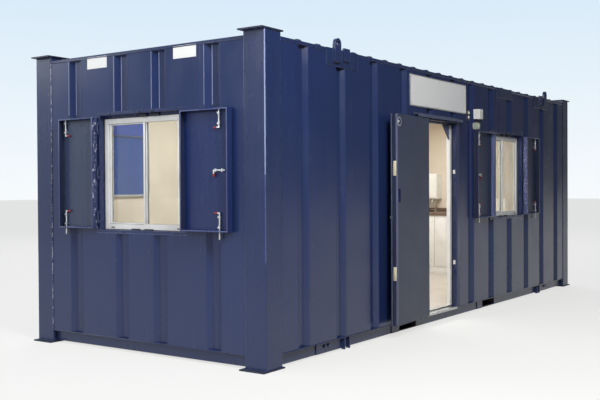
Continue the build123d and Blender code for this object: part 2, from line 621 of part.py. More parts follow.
def sash_frame():
    """Plastic frame with a sliding sash on the left and a fixed pane on the right."""
    back = -SASH_SET - SASH_DEPTH
    block(-WINDOW_W / 2, WINDOW_W / 2, WINDOW_LOW, SASH_TOP, back, -SASH_SET)
    block(-PANE_SIDE, PANE_SIDE, PANE_LOW, PANE_TOP, back - THROUGH, -SASH_SET + THROUGH,
          mode=Mode.SUBTRACT)
    block(-MEETING / 2, MEETING / 2, PANE_LOW, PANE_TOP, back, -SASH_SET)
    sash_front = -SASH_SET - SLIDER_BACK
    block(-PANE_SIDE, -MEETING / 2, PANE_LOW, PANE_TOP, back, sash_front)
    block(-PANE_SIDE + SLIDER, -MEETING / 2, PANE_LOW + SLIDER_RAIL, PANE_TOP - SLIDER_RAIL,
          back - THROUGH, sash_front + THROUGH, mode=Mode.SUBTRACT)


def sash_panes():
    """Both panes of one window, set between the faces of the frame."""
    middle = -SASH_SET - GLASS_BACK
    block(-PANE_SIDE + SLIDER, -MEETING / 2, PANE_LOW + SLIDER_RAIL, PANE_TOP - SLIDER_RAIL,
          middle - GLASS / 2, middle + GLASS / 2)
    block(MEETING / 2, PANE_SIDE, PANE_LOW, PANE_TOP, middle - GLASS / 2, middle + GLASS / 2)


with BuildPart(END_WINDOW) as window_frame_end:
    sash_frame()

with BuildPart(FRONT_WINDOW) as window_frame_front:
    sash_frame()

with BuildPart(END_WINDOW, FRONT_WINDOW) as window_glass:
    sash_panes()

# ---------------------------------------------------------------- shutters, standing open
# Each shutter is drawn on a plane whose origin is its hinge axis: x runs from the hinge
# to the free edge, z is up or down, and y runs from the flat wall toward the outside.


def shutter_plane(x, y, along, turned):
    """Plane of one open shutter; a turned one is drawn upside down."""
    return Plane(origin=(x, y, 0), x_dir=along, z_dir=(0, 0, -1 if turned else 1))


AXIS_SIDE = WINDOW_W / 2 + SHUT_SIDE
AXIS_X = -FACE_X - SHUT_OUT
AXIS_Y = -FACE_Y - SHUT_OUT
END_NEAR = shutter_plane(AXIS_X, -AXIS_SIDE, (0, -1, 0), True)
END_FAR = shutter_plane(AXIS_X, AXIS_SIDE, (0, 1, 0), False)
FRONT_LEFT = shutter_plane(WINDOW_X - AXIS_SIDE, AXIS_Y, (-1, 0, 0), False)
FRONT_RIGHT = shutter_plane(WINDOW_X + AXIS_SIDE, AXIS_Y, (1, 0, 0), True)


def tray(width, rod, turned):
    """Folded steel tray with hinge knuckles, drawn open: flat side to the wall."""
    flip = -1 if turned else 1
    low, top = sorted((flip * SHUT_LOW, flip * SHUT_TOP))
    wall_side = -SHUT_SKIN_OUT
    rim = wall_side + SHUT_DEPTH
    block(SHUT_EDGE, SHUT_EDGE + width, wall_side, rim, low, top)
    block(SHUT_EDGE + SHUT_LIP, SHUT_EDGE + width - SHUT_LIP,
          wall_side + SHUT_SKIN, rim + THROUGH, low + SHUT_LIP, top - SHUT_LIP,
          mode=Mode.SUBTRACT)
    for height in SHUT_HEIGHTS:
        block(0, SHUT_EDGE + SHUT_LIP, wall_side, wall_side + SHUT_ARM,
              flip * height - SHUT_KNUCKLE / 2, flip * height + SHUT_KNUCKLE / 2)
        with Locations((0, 0, flip * height)):
            Cylinder(SHUT_KNUCKLE_R, SHUT_KNUCKLE)
            Cylinder(SHUT_PIN_R + PIN_GAP, SHUT_KNUCKLE, mode=Mode.SUBTRACT)
    with Locations((SHUT_EDGE + width - rod, ROD_Y, flip * SHUT_LOW)):
        Cylinder(ROD_R + ROD_GAP, 4 * SHUT_LIP, mode=Mode.SUBTRACT)


def slide_bolt(x, inner, outer, flip):
    """Round bolt in two guides, its inner end bent over as a handle toward the hinge."""
    with Locations((x, ROD_Y, flip * (inner + outer) / 2)):
        Cylinder(ROD_R, abs(outer - inner))
    way = math.copysign(1, outer - inner)
    for step in (GUIDE_FIRST, GUIDE_FIRST + GUIDE_STEP):
        guide = flip * (inner + way * step)
        block(x - GUIDE_WIDE, x + GUIDE_WIDE, ROD_Y - ROD_OUT, ROD_Y + ROD_R + GUIDE_COVER,
              guide - GUIDE_HALF, guide + GUIDE_HALF)
    block(x - HANDLE_REACH, x, ROD_Y - HANDLE_BAR, ROD_Y + HANDLE_BAR,
          flip * inner, flip * (inner + way * 2 * HANDLE_BAR))


def cross_bolt(x, height, down):
    """Short level bolt at mid height, with its handle hanging at the hinge end."""
    with Locations(Location((x, ROD_Y, height), (0, 90, 0))):
        Cylinder(ROD_R, CROSS_BOLT)
    for guide in (x - CROSS_GUIDE, x + CROSS_GUIDE):
        block(guide - GUIDE_HALF, guide + GUIDE_HALF,
              ROD_Y - ROD_OUT, ROD_Y + ROD_R + GUIDE_COVER,
              height - GUIDE_WIDE, height + GUIDE_WIDE)
    end = x - CROSS_BOLT / 2
    block(end, end + 2 * HANDLE_BAR, ROD_Y - HANDLE_BAR, ROD_Y + HANDLE_BAR,
          height, height + down * HANDLE_REACH)


def bolts(width, rod, turned, middle):
    """The slide bolts of one shutter: top, bottom and, on a wide leaf, mid height."""
    flip = -1 if turned else 1
    x = SHUT_EDGE + width - rod
    slide_bolt(x, SHUT_TOP - BOLT_LENGTH, SHUT_TOP - BOLT_PLAY, flip)
    slide_bolt(x, SHUT_LOW + BOLT_LENGTH, SHUT_LOW - BOLT_DROP, flip)
    if middle:
        cross_bolt(x, flip * (SHUT_LOW + SHUT_TOP) / 2, -flip)


with BuildPart(END_NEAR) as shutter_end_near:
    tray(SHUT_WIDE, ROD_WIDE, True)
with BuildPart(END_NEAR) as bolts_end_near:
    bolts(SHUT_WIDE, ROD_WIDE, True, True)
with BuildPart(END_FAR) as shutter_end_far:
    tray(SHUT_NARROW, ROD_NARROW, False)
with BuildPart(END_FAR) as bolts_end_far:
    bolts(SHUT_NARROW, ROD_NARROW, False, False)
with BuildPart(FRONT_LEFT) as shutter_front_left:
    tray(SHUT_WIDE, ROD_WIDE, False)
with BuildPart(FRONT_LEFT) as bolts_front_left:
    bolts(SHUT_WIDE, ROD_WIDE, False, True)
with BuildPart(FRONT_RIGHT) as shutter_front_right:
    tray(SHUT_NARROW, ROD_NARROW, True)
with BuildPart(FRONT_RIGHT) as bolts_front_right:
    bolts(SHUT_NARROW, ROD_NARROW, True, False)

AXES = [plane.origin for plane in (END_NEAR, END_FAR, FRONT_LEFT, FRONT_RIGHT)]
with BuildPart() as shutter_hinges:
    for axis in AXES:
        at_end = abs(axis.Y) < POST_Y
        for height in SHUT_HEIGHTS:
            for side in (-1, 1):
                middle = height + side * (SHUT_KNUCKLE / 2 + KNUCKLE_GAP + SHUT_ROOT / 2)
                low, top = middle - SHUT_ROOT / 2, middle + SHUT_ROOT / 2
                with Locations((axis.X, axis.Y, middle)):
                    Cylinder(SHUT_KNUCKLE_R, SHUT_ROOT)
                if at_end:
                    block(axis.X, -FACE_X, axis.Y - SHUT_KNUCKLE_R, axis.Y + SHUT_KNUCKLE_R,
                          low, top)
                else:
                    block(axis.X - SHUT_KNUCKLE_R, axis.X + SHUT_KNUCKLE_R, axis.Y, -FACE_Y,
                          low, top)
            with Locations((axis.X, axis.Y, height)):
                Cylinder(SHUT_PIN_R, SHUT_KNUCKLE + 2 * SHUT_ROOT)

# ---------------------------------------------------------------- lifting eyes and brackets
with BuildPart() as lifting_eyes:
    for side in (-1, 1):
        inner, outer = side * FACE_Y, side * HALF_W
        for end in (-1, 1):
            block(end * (EYE_X - PAD_IN), end * (EYE_X + PAD_OUT), inner, outer,
                  PAD_LOW, PAD_TOP)
            block(end * (EYE_X - EYE_W / 2), end * (EYE_X + EYE_W / 2),
                  outer, outer + side * EYE_T, EYE_LOW, EYE_CENTRE)
            eye = (end * EYE_X, outer + side * EYE_T / 2, EYE_CENTRE)
            with Locations(Location(eye, (90, 0, 0))):
                Cylinder(EYE_W / 2, EYE_T)
                Cylinder(EYE_HOLE_R, 2 * EYE_T, mode=Mode.SUBTRACT)
            block(end * (EYE_X - BOSS_NEAR), end * (EYE_X - BOSS_NEAR - BOSS_W),
                  outer, outer + side * BOSS_T, BOSS_LOW, BOSS_TOP)
    cover_x = WINDOW_X - COVER_SHIFT
    block(cover_x - COVER_W / 2, cover_x + COVER_W / 2, -HALF_W, -FACE_Y, COVER_LOW, PAD_TOP)

with BuildPart() as lower_brackets:
    for side in (-1, 1):
        rail = side * RAIL_OUT_Y
        for end in (-1, 1):
            block(end * (BRACKET_MID + BRACKET_W / 2), end * (BRACKET_MID - BRACKET_W / 2),
                  rail, rail + side * BRACKET_T, RAIL_LOW, BRACKET_TOP)
            for x in (BRACKET_MID - FIN_FIRST, BRACKET_MID - FIN_FIRST - FIN_STEP):
                block(end * (x - FIN_T / 2), end * (x + FIN_T / 2), rail,
                      rail + side * FIN_OUT, RAIL_LOW - FIN_DROP, BRACKET_TOP)
            for x in (BRACKET_MID + BOLT_FIRST, BRACKET_MID + BOLT_FIRST + BOLT_STEP):
                head = (end * x, rail + side * (BRACKET_T + BOLT_T / 2), BOLT_Z)
                with Locations(Location(head, (90, 0, 0))):
                    Cylinder(BOLT_R, BOLT_T)
        for start, stop in POCKET_EDGES:
            block(start - SMALL_GAP - DOUBLER, start - SMALL_GAP, rail,
                  rail + side * BRACKET_T, RAIL_LOW, BRACKET_TOP)

# ---------------------------------------------------------------- fittings
with BuildPart() as electrical_boxes:
    block(JUNCTION_X, JUNCTION_X + JUNCTION_W, -FACE_Y - JUNCTION_T, -FACE_Y,
          JUNCTION_LOW, JUNCTION_LOW + JUNCTION_H)
    block(JUNCTION_X + INLET_SHIFT, JUNCTION_X + INLET_SHIFT + INLET_W,
          -FACE_Y - INLET_T, -FACE_Y, INLET_LOW, INLET_LOW + INLET_H)
    block(LAMP_X - LAMP_W / 2, LAMP_X + LAMP_W / 2, -FACE_Y - LAMP_T, -FACE_Y,
          LAMP_LOW, LAMP_LOW + LAMP_H)
    for step in (-1, 1):
        lamp = (LAMP_X, -FACE_Y - LAMP_T * 3 / 2, LAMP_LOW + (LAMP_H + step * LAMP_STEP) / 2)
        with Locations(Location(lamp, (90, 0, 0))):
            Cylinder(LAMP_R, LAMP_T)

with BuildPart() as blank_plates:
    for side in (-1, 1):
        block(-FACE_X - LABEL_T, -FACE_X, side * LABEL_IN, side * (LABEL_IN + LABEL_W),
              LABEL_LOW, LABEL_LOW + LABEL_H)
    block(DOOR_CENTRE - BOARD_W / 2, DOOR_CENTRE + BOARD_W / 2, -FACE_Y - BOARD_T, -FACE_Y,
          BOARD_LOW, BOARD_TOP)

with BuildPart() as wash_unit:
    unit_end = POST_Y - LINING - UNIT_CORNER
    block(ROOM_X - UNIT_DEEP + WORKTOP_OUT, ROOM_X, UNIT_LEFT, unit_end,
          DECK_TOP, UNIT_TOP - WORKTOP)
    block(ROOM_X - UNIT_DEEP, ROOM_X, UNIT_LEFT, unit_end, UNIT_TOP - WORKTOP, UNIT_TOP)
    block(ROOM_X - HEATER_T, ROOM_X, HEATER_LEFT, HEATER_LEFT + HEATER_W,
          HEATER_LOW, HEATER_LOW + HEATER_H)

with BuildPart() as notice_board:
    notice_left = -POST_X + LINING + 2 * SMALL_GAP
    block(notice_left, notice_left + NOTICE_W, ROOM_Y - NOTICE_T, ROOM_Y,
          NOTICE_LOW, NOTICE_LOW + NOTICE_H)

for name, piece in {
    "corner_posts": corner_posts,
    "base_plates": base_plates,
    "cap_plates": cap_plates,
    "bottom_side_rails": bottom_side_rails,
    "bottom_end_rails": bottom_end_rails,
    "cross_members": cross_members,
    "fork_pockets": fork_pockets,
    "floor_deck": floor_deck,
    "top_rails": top_rails,
    "roof_sheet": roof_sheet,
    "ceiling_lining": ceiling_lining,
    "front_wall_left": front_wall_left,
    "front_wall_over_door": front_wall_over_door,
    "front_wall_middle": front_wall_middle,
    "front_window_infills": front_window_infills,
    "front_wall_right": front_wall_right,
    "window_end_sides": window_end_sides,
    "window_end_infills": window_end_infills,
    "back_wall": back_wall,
    "far_end_wall": far_end_wall,
    "wall_lining": wall_lining,
    "door_frame": door_frame,
    "door_threshold": door_threshold,
    "door_hood": door_hood,
    "door_hinges": door_hinges,
    "door_leaf": door_leaf,
    "door_fittings": door_fittings,
    "window_surrounds": window_surrounds,
    "window_frame_end": window_frame_end,
    "window_frame_front": window_frame_front,
    "window_glass": window_glass,
    "shutter_end_near": shutter_end_near,
    "shutter_end_far": shutter_end_far,
    "shutter_front_left": shutter_front_left,
    "shutter_front_right": shutter_front_right,
    "bolts_end_near": bolts_end_near,
    "bolts_end_far": bolts_end_far,
    "bolts_front_left": bolts_front_left,
    "bolts_front_right": bolts_front_right,
    "shutter_hinges": shutter_hinges,
    "lifting_eyes": lifting_eyes,
    "lower_brackets": lower_brackets,
    "electrical_boxes": electrical_boxes,
    "blank_plates": blank_plates,
    "notice_board": notice_board,
    "wash_unit": wash_unit,
}.items():
    piece.part.label = name
    export_step(piece.part, f"parts/{name}.step")
    solids = piece.part.solids()
    print(name, len(solids), "solids", round(sum(s.volume for s in solids) / 1e9, 5), "m3")
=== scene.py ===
# %% [markdown]
# # A portable site cabin
# The cabin is a welded steel box that a crane drops on a building site: four square
# posts, a floor frame with two fork pockets, and walls of folded sheet painted navy
# blue. The solids come from CAD. This lesson dresses them: it finishes every surface,
# and adds the welds, seals, screws and fittings that are too fine for the solids.

# %% Load the solids
import json
import math
import random

import bmesh
import bpy
from mathutils import Matrix, Vector


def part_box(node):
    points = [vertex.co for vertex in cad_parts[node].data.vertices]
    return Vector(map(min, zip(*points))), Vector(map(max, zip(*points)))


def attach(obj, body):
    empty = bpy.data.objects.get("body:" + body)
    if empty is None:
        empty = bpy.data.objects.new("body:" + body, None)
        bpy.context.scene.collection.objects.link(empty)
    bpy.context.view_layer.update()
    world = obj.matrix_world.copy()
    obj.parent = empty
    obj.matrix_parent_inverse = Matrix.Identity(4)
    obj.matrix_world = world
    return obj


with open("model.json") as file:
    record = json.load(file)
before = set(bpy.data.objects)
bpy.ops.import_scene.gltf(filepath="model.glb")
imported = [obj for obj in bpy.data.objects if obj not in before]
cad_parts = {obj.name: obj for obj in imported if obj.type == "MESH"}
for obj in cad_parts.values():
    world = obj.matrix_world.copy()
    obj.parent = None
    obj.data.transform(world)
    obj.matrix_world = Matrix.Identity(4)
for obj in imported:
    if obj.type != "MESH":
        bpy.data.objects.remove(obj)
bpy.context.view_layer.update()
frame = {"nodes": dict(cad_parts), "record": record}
nodes = frame["nodes"]

# %% [markdown]
# ## Where the eye stands
# A person of ordinary height looks at the corner between the window end and the door
# side, so the camera stands at head height and looks almost level. A lens of about
# 52 mm keeps the upright posts parallel. Bearing, pitch and roll are turned into three
# directions, right, up and ahead, because a camera's matrix is made of those.

# %% Camera
EYE = Vector((-9.0556, -5.4690, 1.4378))
BEARING = math.radians(55.044)
PITCH = math.radians(-0.748)
ROLL = math.radians(-0.316)
LENS = 52.27

ahead = Vector((math.sin(BEARING) * math.cos(PITCH), math.cos(BEARING) * math.cos(PITCH),
                math.sin(PITCH)))
level_right = Vector((math.cos(BEARING), -math.sin(BEARING), 0))
level_up = level_right.cross(ahead)
right = level_right * math.cos(ROLL) + level_up * math.sin(ROLL)
up = right.cross(ahead)
camera_data = bpy.data.cameras.new("camera")
camera_data.lens = LENS
camera_data.clip_end = 200
camera = bpy.data.objects.new("camera", camera_data)
camera.matrix_world = Matrix.Translation(EYE) @ Matrix((right, up, -ahead)).transposed().to_4x4()
bpy.context.scene.collection.objects.link(camera)
bpy.context.scene.camera = camera
bpy.context.scene.view_settings.view_transform = "Standard"
print("camera looks along", [round(v, 3) for v in ahead])

# %% [markdown]
# ## Colours and nodes
# Paint makers give colours as hex values in sRGB, which is how a screen stores them,
# while the renderer adds up light, so it needs linear values. One function converts.
# Another adds a shader node of any kind, sets what is fixed on it and links what comes
# from another node; its inputs are named, or listed in the order the node shows them.
# Noise scales are one over a size in metres, so a third function lets every recipe
# name the size of its features in millimetres.


# %% Colour and node helpers
def linear(hex_colour, alpha=1.0):
    """An sRGB hex colour as linear red, green, blue and alpha."""
    parts = [int(hex_colour[i:i + 2], 16) / 255 for i in (1, 3, 5)]
    parts = [c / 12.92 if c <= 0.04045 else ((c + 0.055) / 1.055) ** 2.4 for c in parts]
    return (*parts, alpha)


def per_metre(millimetres):
    """The scale of a pattern whose features have this size."""
    return 1000.0 / millimetres


def out_of(value):
    """The output in use of a node; a socket or a fixed value stays as it is."""
    if isinstance(value, bpy.types.Node):
        return next(socket for socket in value.outputs if socket.enabled)
    return value


def add(tree, kind, inputs=(), **settings):
    """Adds a node with its settings; each input is a fixed value, a socket or a node."""
    node = tree.nodes.new("ShaderNode" + kind)
    for name, value in settings.items():
        setattr(node, name, value)
    pairs = inputs.items() if isinstance(inputs, dict) else enumerate(inputs)
    for name, value in pairs:
        value = out_of(value)
        if isinstance(value, bpy.types.NodeSocket):
            tree.links.new(value, node.inputs[name])
        else:
            node.inputs[name].default_value = value
    return node


def start_material(name, **fixed):
    """A new node material with a Principled shader; fixed values go on its own sockets."""
    material = bpy.data.materials.new(name)
    material.use_nodes = True
    tree = material.node_tree
    tree.nodes.clear()
    shader = add(tree, "BsdfPrincipled", {k.replace("_", " "): v for k, v in fixed.items()})
    add(tree, "OutputMaterial", {"Surface": shader.outputs[0]})
    return material, tree, shader


def wear(tree, shader, colour, rough=None, bump=None):
    """Links a colour, a roughness and a bump to the shader."""
    for name, value in (("Base Color", colour), ("Roughness", rough), ("Normal", bump)):
        if value:
            tree.links.new(out_of(value), shader.inputs[name])


print("mid grey is", round(linear("#808080")[0], 3), "in linear light")

# %% [markdown]
# ## Navy paint on steel
# The cabin is sprayed with one coat of alkyd enamel, navy blue, half gloss, which has
# the refractive index of any resin, 1.5. Rolled sheet is never quite flat, so its
# reflections bend in soft waves about 0.4 m long. The spray leaves an orange peel of a
# few millimetres. Rain draws dust down in faint upright streaks, splashes from the
# ground grey the lowest half metre, and hands and straps dull it in patches. All of
# this could be painted by hand; one recipe of noise does it for every blue finish.


# %% Enamel recipe
def enamel(name, hex_colour, dusty_hex="#5A5F6E", rough=0.36, wave=0.0012, dust=0.05,
           chips=0.0, edge=0.0):
    """Half-gloss enamel: colour drift, rain streaks, splashes, dull patches, orange peel."""
    material, tree, shader = start_material(name, IOR=1.5)
    place = add(tree, "TexCoord").outputs["Object"]
    cloud = add(tree, "TexNoise", {"Vector": place, "Scale": per_metre(900), "Detail": 3.0})
    drift = add(tree, "MapRange", (cloud, 0.3, 0.7, 0.94, 1.06))
    base = add(tree, "HueSaturation", {"Color": linear(hex_colour), "Value": drift})
    drawn_down = add(tree, "Mapping", {"Vector": place, "Scale": (1.0, 1.0, 0.04)})
    rain = add(tree, "TexNoise", {"Vector": drawn_down, "Scale": per_metre(45), "Detail": 3.0})
    streaks = add(tree, "MapRange", (rain, 0.45, 0.85, 0.0, dust))
    height = add(tree, "SeparateXYZ", {"Vector": place}).outputs["Z"]
    near_ground = add(tree, "MapRange", (height, 0.7, 0.05, 0.0, dust))
    spots = add(tree, "TexNoise", {"Vector": place, "Scale": per_metre(35), "Detail": 6.0})
    splash = add(tree, "Math", (near_ground, spots), operation="MULTIPLY")
    dirt = add(tree, "Math", (streaks, splash), operation="ADD", use_clamp=True)
    colour = add(tree, "Mix", {0: dirt, 6: base, 7: linear(dusty_hex)}, data_type="RGBA")
    handled = add(tree, "TexNoise", {"Vector": place, "Scale": per_metre(300), "Detail": 3.0})
    patches = add(tree, "MapRange", (handled, 0.3, 0.75, rough - 0.03, rough + 0.05))
    dull = add(tree, "Math", (patches, dirt), operation="ADD", use_clamp=True)
    if chips:
        tall = add(tree, "Mapping", {"Vector": place, "Scale": (1.0, 1.0, 0.55)})
        flakes = add(tree, "TexNoise", {"Vector": tall, "Scale": per_metre(14), "Detail": 8.0})
        bare = add(tree, "MapRange", (flakes, 0.60 - chips, 0.62 - chips, 0.0, 1.0))
        colour = add(tree, "Mix", {0: bare, 6: colour, 7: linear("#B9BBCB")}, data_type="RGBA")
        chalky = add(tree, "MapRange", (bare, 0.0, 1.0, 0.0, 0.15))
        dull = add(tree, "Math", (dull, chalky), operation="ADD", use_clamp=True)
    waves = add(tree, "TexNoise", {"Vector": place, "Scale": per_metre(420), "Detail": 1.0})
    bend = add(tree, "Bump", {"Height": waves, "Distance": wave, "Strength": 1.0})
    if edge:
        rounded = add(tree, "Bevel", {"Radius": edge}, samples=4)
        tree.links.new(out_of(rounded), bend.inputs["Normal"])
    peel = add(tree, "TexNoise", {"Vector": place, "Scale": per_metre(4), "Detail": 2.0})
    wear(tree, shader, colour, dull, add(tree, "Bump", {
        "Height": peel, "Distance": 0.00008, "Strength": 1.0, "Normal": bend}))
    return material


# %% [markdown]
# ## The blue finishes
# The wall sheet is clean and glossy. The thick rolled steel has rounder edges, which a
# bevel node stands in for. Plates are duller and dustier. Several finishes paint light:
# paler ones paint highlights, sheen and reflections on bends, hems, edges, post corners,
# flanges, door trim, gussets and the far end shutter, and darker ones paint shade on the
# keepers, flanges, the lock edge and the near end shutter. Three of the finishes are
# chipped down to the pale metal, and on the weld bead those pale chips paint glints.

# %% Blue finishes
wall_enamel = enamel("navy_enamel_on_wall_sheet", "#23325E", rough=0.22)
frame_enamel = enamel("navy_enamel_on_rolled_steel", "#23315A", rough=0.26, wave=0.0004,
                      edge=0.010)
shutter_enamel = enamel("navy_enamel_on_folded_shutter", "#29365F", rough=0.28, wave=0.0008)
door_enamel = enamel("navy_enamel_on_door_skin", "#27324D", rough=0.40, wave=0.0008)
# Worn and dusty on the plates; on the lock edge and shutter flanges its dark colour is painted
# shade.
worn_and_shaded_enamel = enamel("worn_enamel_and_painted_shade", "#1C2440", "#4A4C55", rough=0.42, dust=0.3)
# Pale: paints the highlights on the door's edge folds and the reflection on the gussets.
door_highlight_enamel = enamel("pale_enamel_painted_highlight_on_door_trim", "#646B88", "#8E94A6", wave=0.0003, dust=0.3)
roof_enamel = enamel("navy_enamel_on_roof_sheet", "#2E3A5A", "#7C8290", rough=0.5, dust=0.35)
chipped_enamel = enamel("chipped_enamel_on_zinc_strip", "#4E5788", "#8B93B4", rough=0.35,
                        dust=0.5, chips=0.012)
# Pale: paints the highlight on groove bends and on the upper post corners.
bend_highlight_enamel = enamel("pale_enamel_painted_highlight_on_bends", "#8793BC", "#B4BDD6", rough=0.22, dust=0.5)
# Paler: paints highlight lines on edges, shutter hems, one seam and the lower post corners.
edge_highlight_enamel = enamel("paler_enamel_painted_highlight_on_edges", "#465282", "#7C84A0", rough=0.24, dust=0.2)
# Dark: paints the shade the keepers lie in.
keeper_shade_enamel = enamel("dark_enamel_painted_shade_on_keepers", "#131930", "#262C48", rough=0.5, dust=0.1)
# Pale: paints the sheen on the front wide shutter's hinge flange.
flange_sheen_enamel = enamel("pale_enamel_painted_sheen_on_flange", "#5F6995", "#9AA3C2", rough=0.2, dust=0.5)
# The end shutters are one paint: the near copy is deeper, a painted shade, and the far copy paler
# and greyer, a painted sheen.
near_shutter_shade_enamel = enamel("navy_enamel_painted_shade_on_near_shutter", "#1C2D60", rough=0.26, wave=0.0008)
far_shutter_sheen_enamel = enamel("navy_enamel_painted_sheen_on_far_shutter", "#37435F", rough=0.26, wave=0.0008)
hood_enamel = enamel("faded_enamel_on_rain_hood", "#4E5570", "#7C8296", dust=0.3)
jamb_enamel = enamel("faded_enamel_on_jambs", "#3D4566", "#6A708A", dust=0.3)
rubbed_enamel = enamel("rubbed_enamel_on_flange", "#303C66", "#6F789C", rough=0.35, dust=0.4,
                       chips=0.003)
# Chipped paint whose pale chips paint the glints of a weld bead.
weld_glint_enamel = enamel("chipped_enamel_painted_glints_on_weld_bead", "#2B3660", "#6A7294", rough=0.3, dust=0.5,
                     chips=0.09)
print("enamel nodes", len(wall_enamel.node_tree.nodes))

# %% [markdown]
# ## Plastics and boards
# The inside is lined with board coated in cream vinyl, embossed with a fine leather
# grain so that it hides scratches. The windows are extruded white uPVC, the electrical
# boxes moulded ABS. All are one colour through, a little uneven, marked by hands and
# grain. One recipe covers them: two close colours, a size for the cloudy change between
# them, and a grain with its own size and depth. A moulded grain is a few tenths of a
# millimetre, too fine to show here, so it is drawn several times as coarse.
# Plastics have an index of 1.45 to 1.54.


# %% Plastic recipe
def plastic(name, hex_colour, worn_hex, rough, cloud=300, grain=3.0, depth=0.00005,
            worn=0.5, ior=1.5, speck_hex=None):
    """One-colour plastic or board: cloudy wear, scuffs in the gloss and a moulded grain."""
    material, tree, shader = start_material(name, IOR=ior)
    place = add(tree, "TexCoord").outputs["Object"]
    stain = add(tree, "TexNoise", {"Vector": place, "Scale": per_metre(cloud), "Detail": 5.0})
    clouds = add(tree, "MapRange", (stain, 0.45, 0.75, 0.0, worn))
    colour = add(tree, "Mix", {0: clouds, 6: linear(hex_colour), 7: linear(worn_hex)},
                 data_type="RGBA")
    if speck_hex:
        specks = add(tree, "TexNoise", {"Vector": place, "Scale": per_metre(5), "Detail": 2.0})
        flecks = add(tree, "MapRange", (specks, 0.60, 0.66, 0.0, 0.8))
        colour = add(tree, "Mix", {0: flecks, 6: colour, 7: linear(speck_hex)}, data_type="RGBA")
    tall = add(tree, "Mapping", {"Vector": place, "Scale": (1.0, 1.0, 0.3)})
    scuffs = add(tree, "TexNoise", {"Vector": tall, "Scale": per_metre(cloud / 6), "Detail": 6.0})
    dull = add(tree, "MapRange", (scuffs, 0.3, 0.75, rough - 0.06, rough + 0.14))
    mould = add(tree, "TexNoise", {"Vector": place, "Scale": per_metre(grain), "Detail": 3.0})
    wear(tree, shader, colour, dull,
         add(tree, "Bump", {"Height": mould, "Distance": depth, "Strength": 1.0}))
    return material


# %% [markdown]
# ## The plastics
# The lining has a deep grain and the window frames a shallow one. The front window's
# frame stands in shade and is drawn whiter to offset it, which is painted light. Lenses,
# seals and sleeves are small, so their clouds of wear are small as well, and the vinyl
# floor is flecked so that dirt does not show.

# %% Plastics
cream_board = plastic("cream_vinyl_board", "#DDD2C2", "#CDBFAA", 0.55, 500, 2.0, 0.00015)
white_sheet = plastic("white_composite_sheet", "#F4F4F3", "#EEEEEC", 0.40, 700, 1.2, 0.00001,
                      worn=0.2)
white_upvc = plastic("white_upvc", "#EAEAE9", "#D6D4D1", 0.32, 160, 1.5, 0.00003, ior=1.53)
# Whiter than the end frame to offset the shade the front window stands in: painted light.
brightened_upvc = plastic("white_upvc_brightened_to_offset_shade", "#F6F6F5", "#E6E4E1", 0.32, 160, 1.5, 0.00003, ior=1.53)
white_abs = plastic("white_abs", "#EFEFEB", "#DEDBD0", 0.42, 90, 0.8, 0.00004)
olive_abs = plastic("grey_green_abs", "#A8AFA2", "#8C9486", 0.4, 40, 0.8, 0.00004)
green_lens = plastic("green_tinted_lens", "#DDE8B4", "#B8C690", 0.2, 30, 6.0, 0.0003)
dark_backing = plastic("dark_backing_plate", "#1D2220", "#303530", 0.5, 60, 1.0)
red_sleeve = plastic("red_vinyl_sleeve", "#8E1E22", "#5E1A1C", 0.45, 20, 1.0)
rubber = plastic("black_epdm_seal", "#17181A", "#2C2C2C", 0.7, 40, 0.6, 0.00006, ior=1.52)
vinyl_floor = plastic("speckled_vinyl_floor", "#C6C0B6", "#AEA69A", 0.5, 400, 4.0, 0.0001,
                      speck_hex="#DAD5CC")
skirting_vinyl = plastic("grey_skirting_vinyl", "#8E8A84", "#77736C", 0.5, 200, 2.0, 0.00004)
brown_laminate = plastic("brown_worktop_laminate", "#6E5A48", "#4E3E32", 0.4, 60, 2.0, 0.00008)
print("plastics", white_upvc.name, white_abs.name, rubber.name)

# %% [markdown]
# ## Bare metals
# Bolts and plates are mild steel with a thin coat of zinc, whose crystals give a cloudy
# spangle about a centimetre wide. The door sill is mill finish aluminium, brushed along
# its length by shoes. Metals keep the default index and take their look from a light
# tint, full metallic and the roughness; the recipe changes the tint, the size of the
# spangle or brush marks, and how far the marks are drawn out. Real brush marks are a few
# tenths of a millimetre wide and would not show, so they are drawn at 3 to 5 mm. The
# lock plates are brass under lacquer, which is a clear skin over a pale yellow, so they
# use the plastic recipe.


# %% Metal recipe
def bare_metal(name, hex_colour, dull_hex, rough, mark=12, stretch=(1.0, 1.0, 1.0)):
    """Metal with cloudy or brushed marks in colour, gloss and height."""
    material, tree, shader = start_material(name, Metallic=1.0)
    place = add(tree, "TexCoord").outputs["Object"]
    drawn_out = add(tree, "Mapping", {"Vector": place, "Scale": stretch})
    marks = add(tree, "TexNoise", {"Vector": drawn_out, "Scale": per_metre(mark), "Detail": 5.0})
    cloud = add(tree, "TexNoise", {"Vector": place, "Scale": per_metre(mark * 6), "Detail": 4.0})
    stains = add(tree, "MapRange", (cloud, 0.5, 0.75, 0.0, 0.5))
    colour = add(tree, "Mix", {0: stains, 6: linear(hex_colour), 7: linear(dull_hex)},
                 data_type="RGBA")
    dull = add(tree, "MapRange", (marks, 0.3, 0.7, rough - 0.08, rough + 0.15))
    wear(tree, shader, colour, dull,
         add(tree, "Bump", {"Height": marks, "Distance": 0.0001, "Strength": 1.0}))
    return material


zinc = bare_metal("zinc_plated_steel", "#D8DADD", "#A2A4A8", 0.42)
alloy = bare_metal("mill_aluminium", "#C8CACC", "#8C8A86", 0.36, 5, (0.05, 1.0, 1.0))
lacquered_brass = plastic("lacquered_brass_plate", "#E6DDBA", "#C4B486", 0.35, 30, 2.0, 0.00008)
stainless = bare_metal("stainless_steel", "#C2C0BC", "#8A8680", 0.25, 3, (1.0, 0.1, 1.0))
print("metals", zinc.name, alloy.name, stainless.name)

# %% [markdown]
# ## Worn pocket steel, felt and glass
# Forks scrape the paint off the pockets, so inside them dark paint, dried mud and brown
# rust lie in patches. The notice board is polyester felt: no gloss, a fine fibre relief
# and a sheen that catches light at the rim. Its fibres are finer than a hair, so they
# are drawn as tufts of 2 mm, which still show. The panes are float glass, index 1.52,
# clear through and slightly green, with a film of dust that roughens it in clouds.

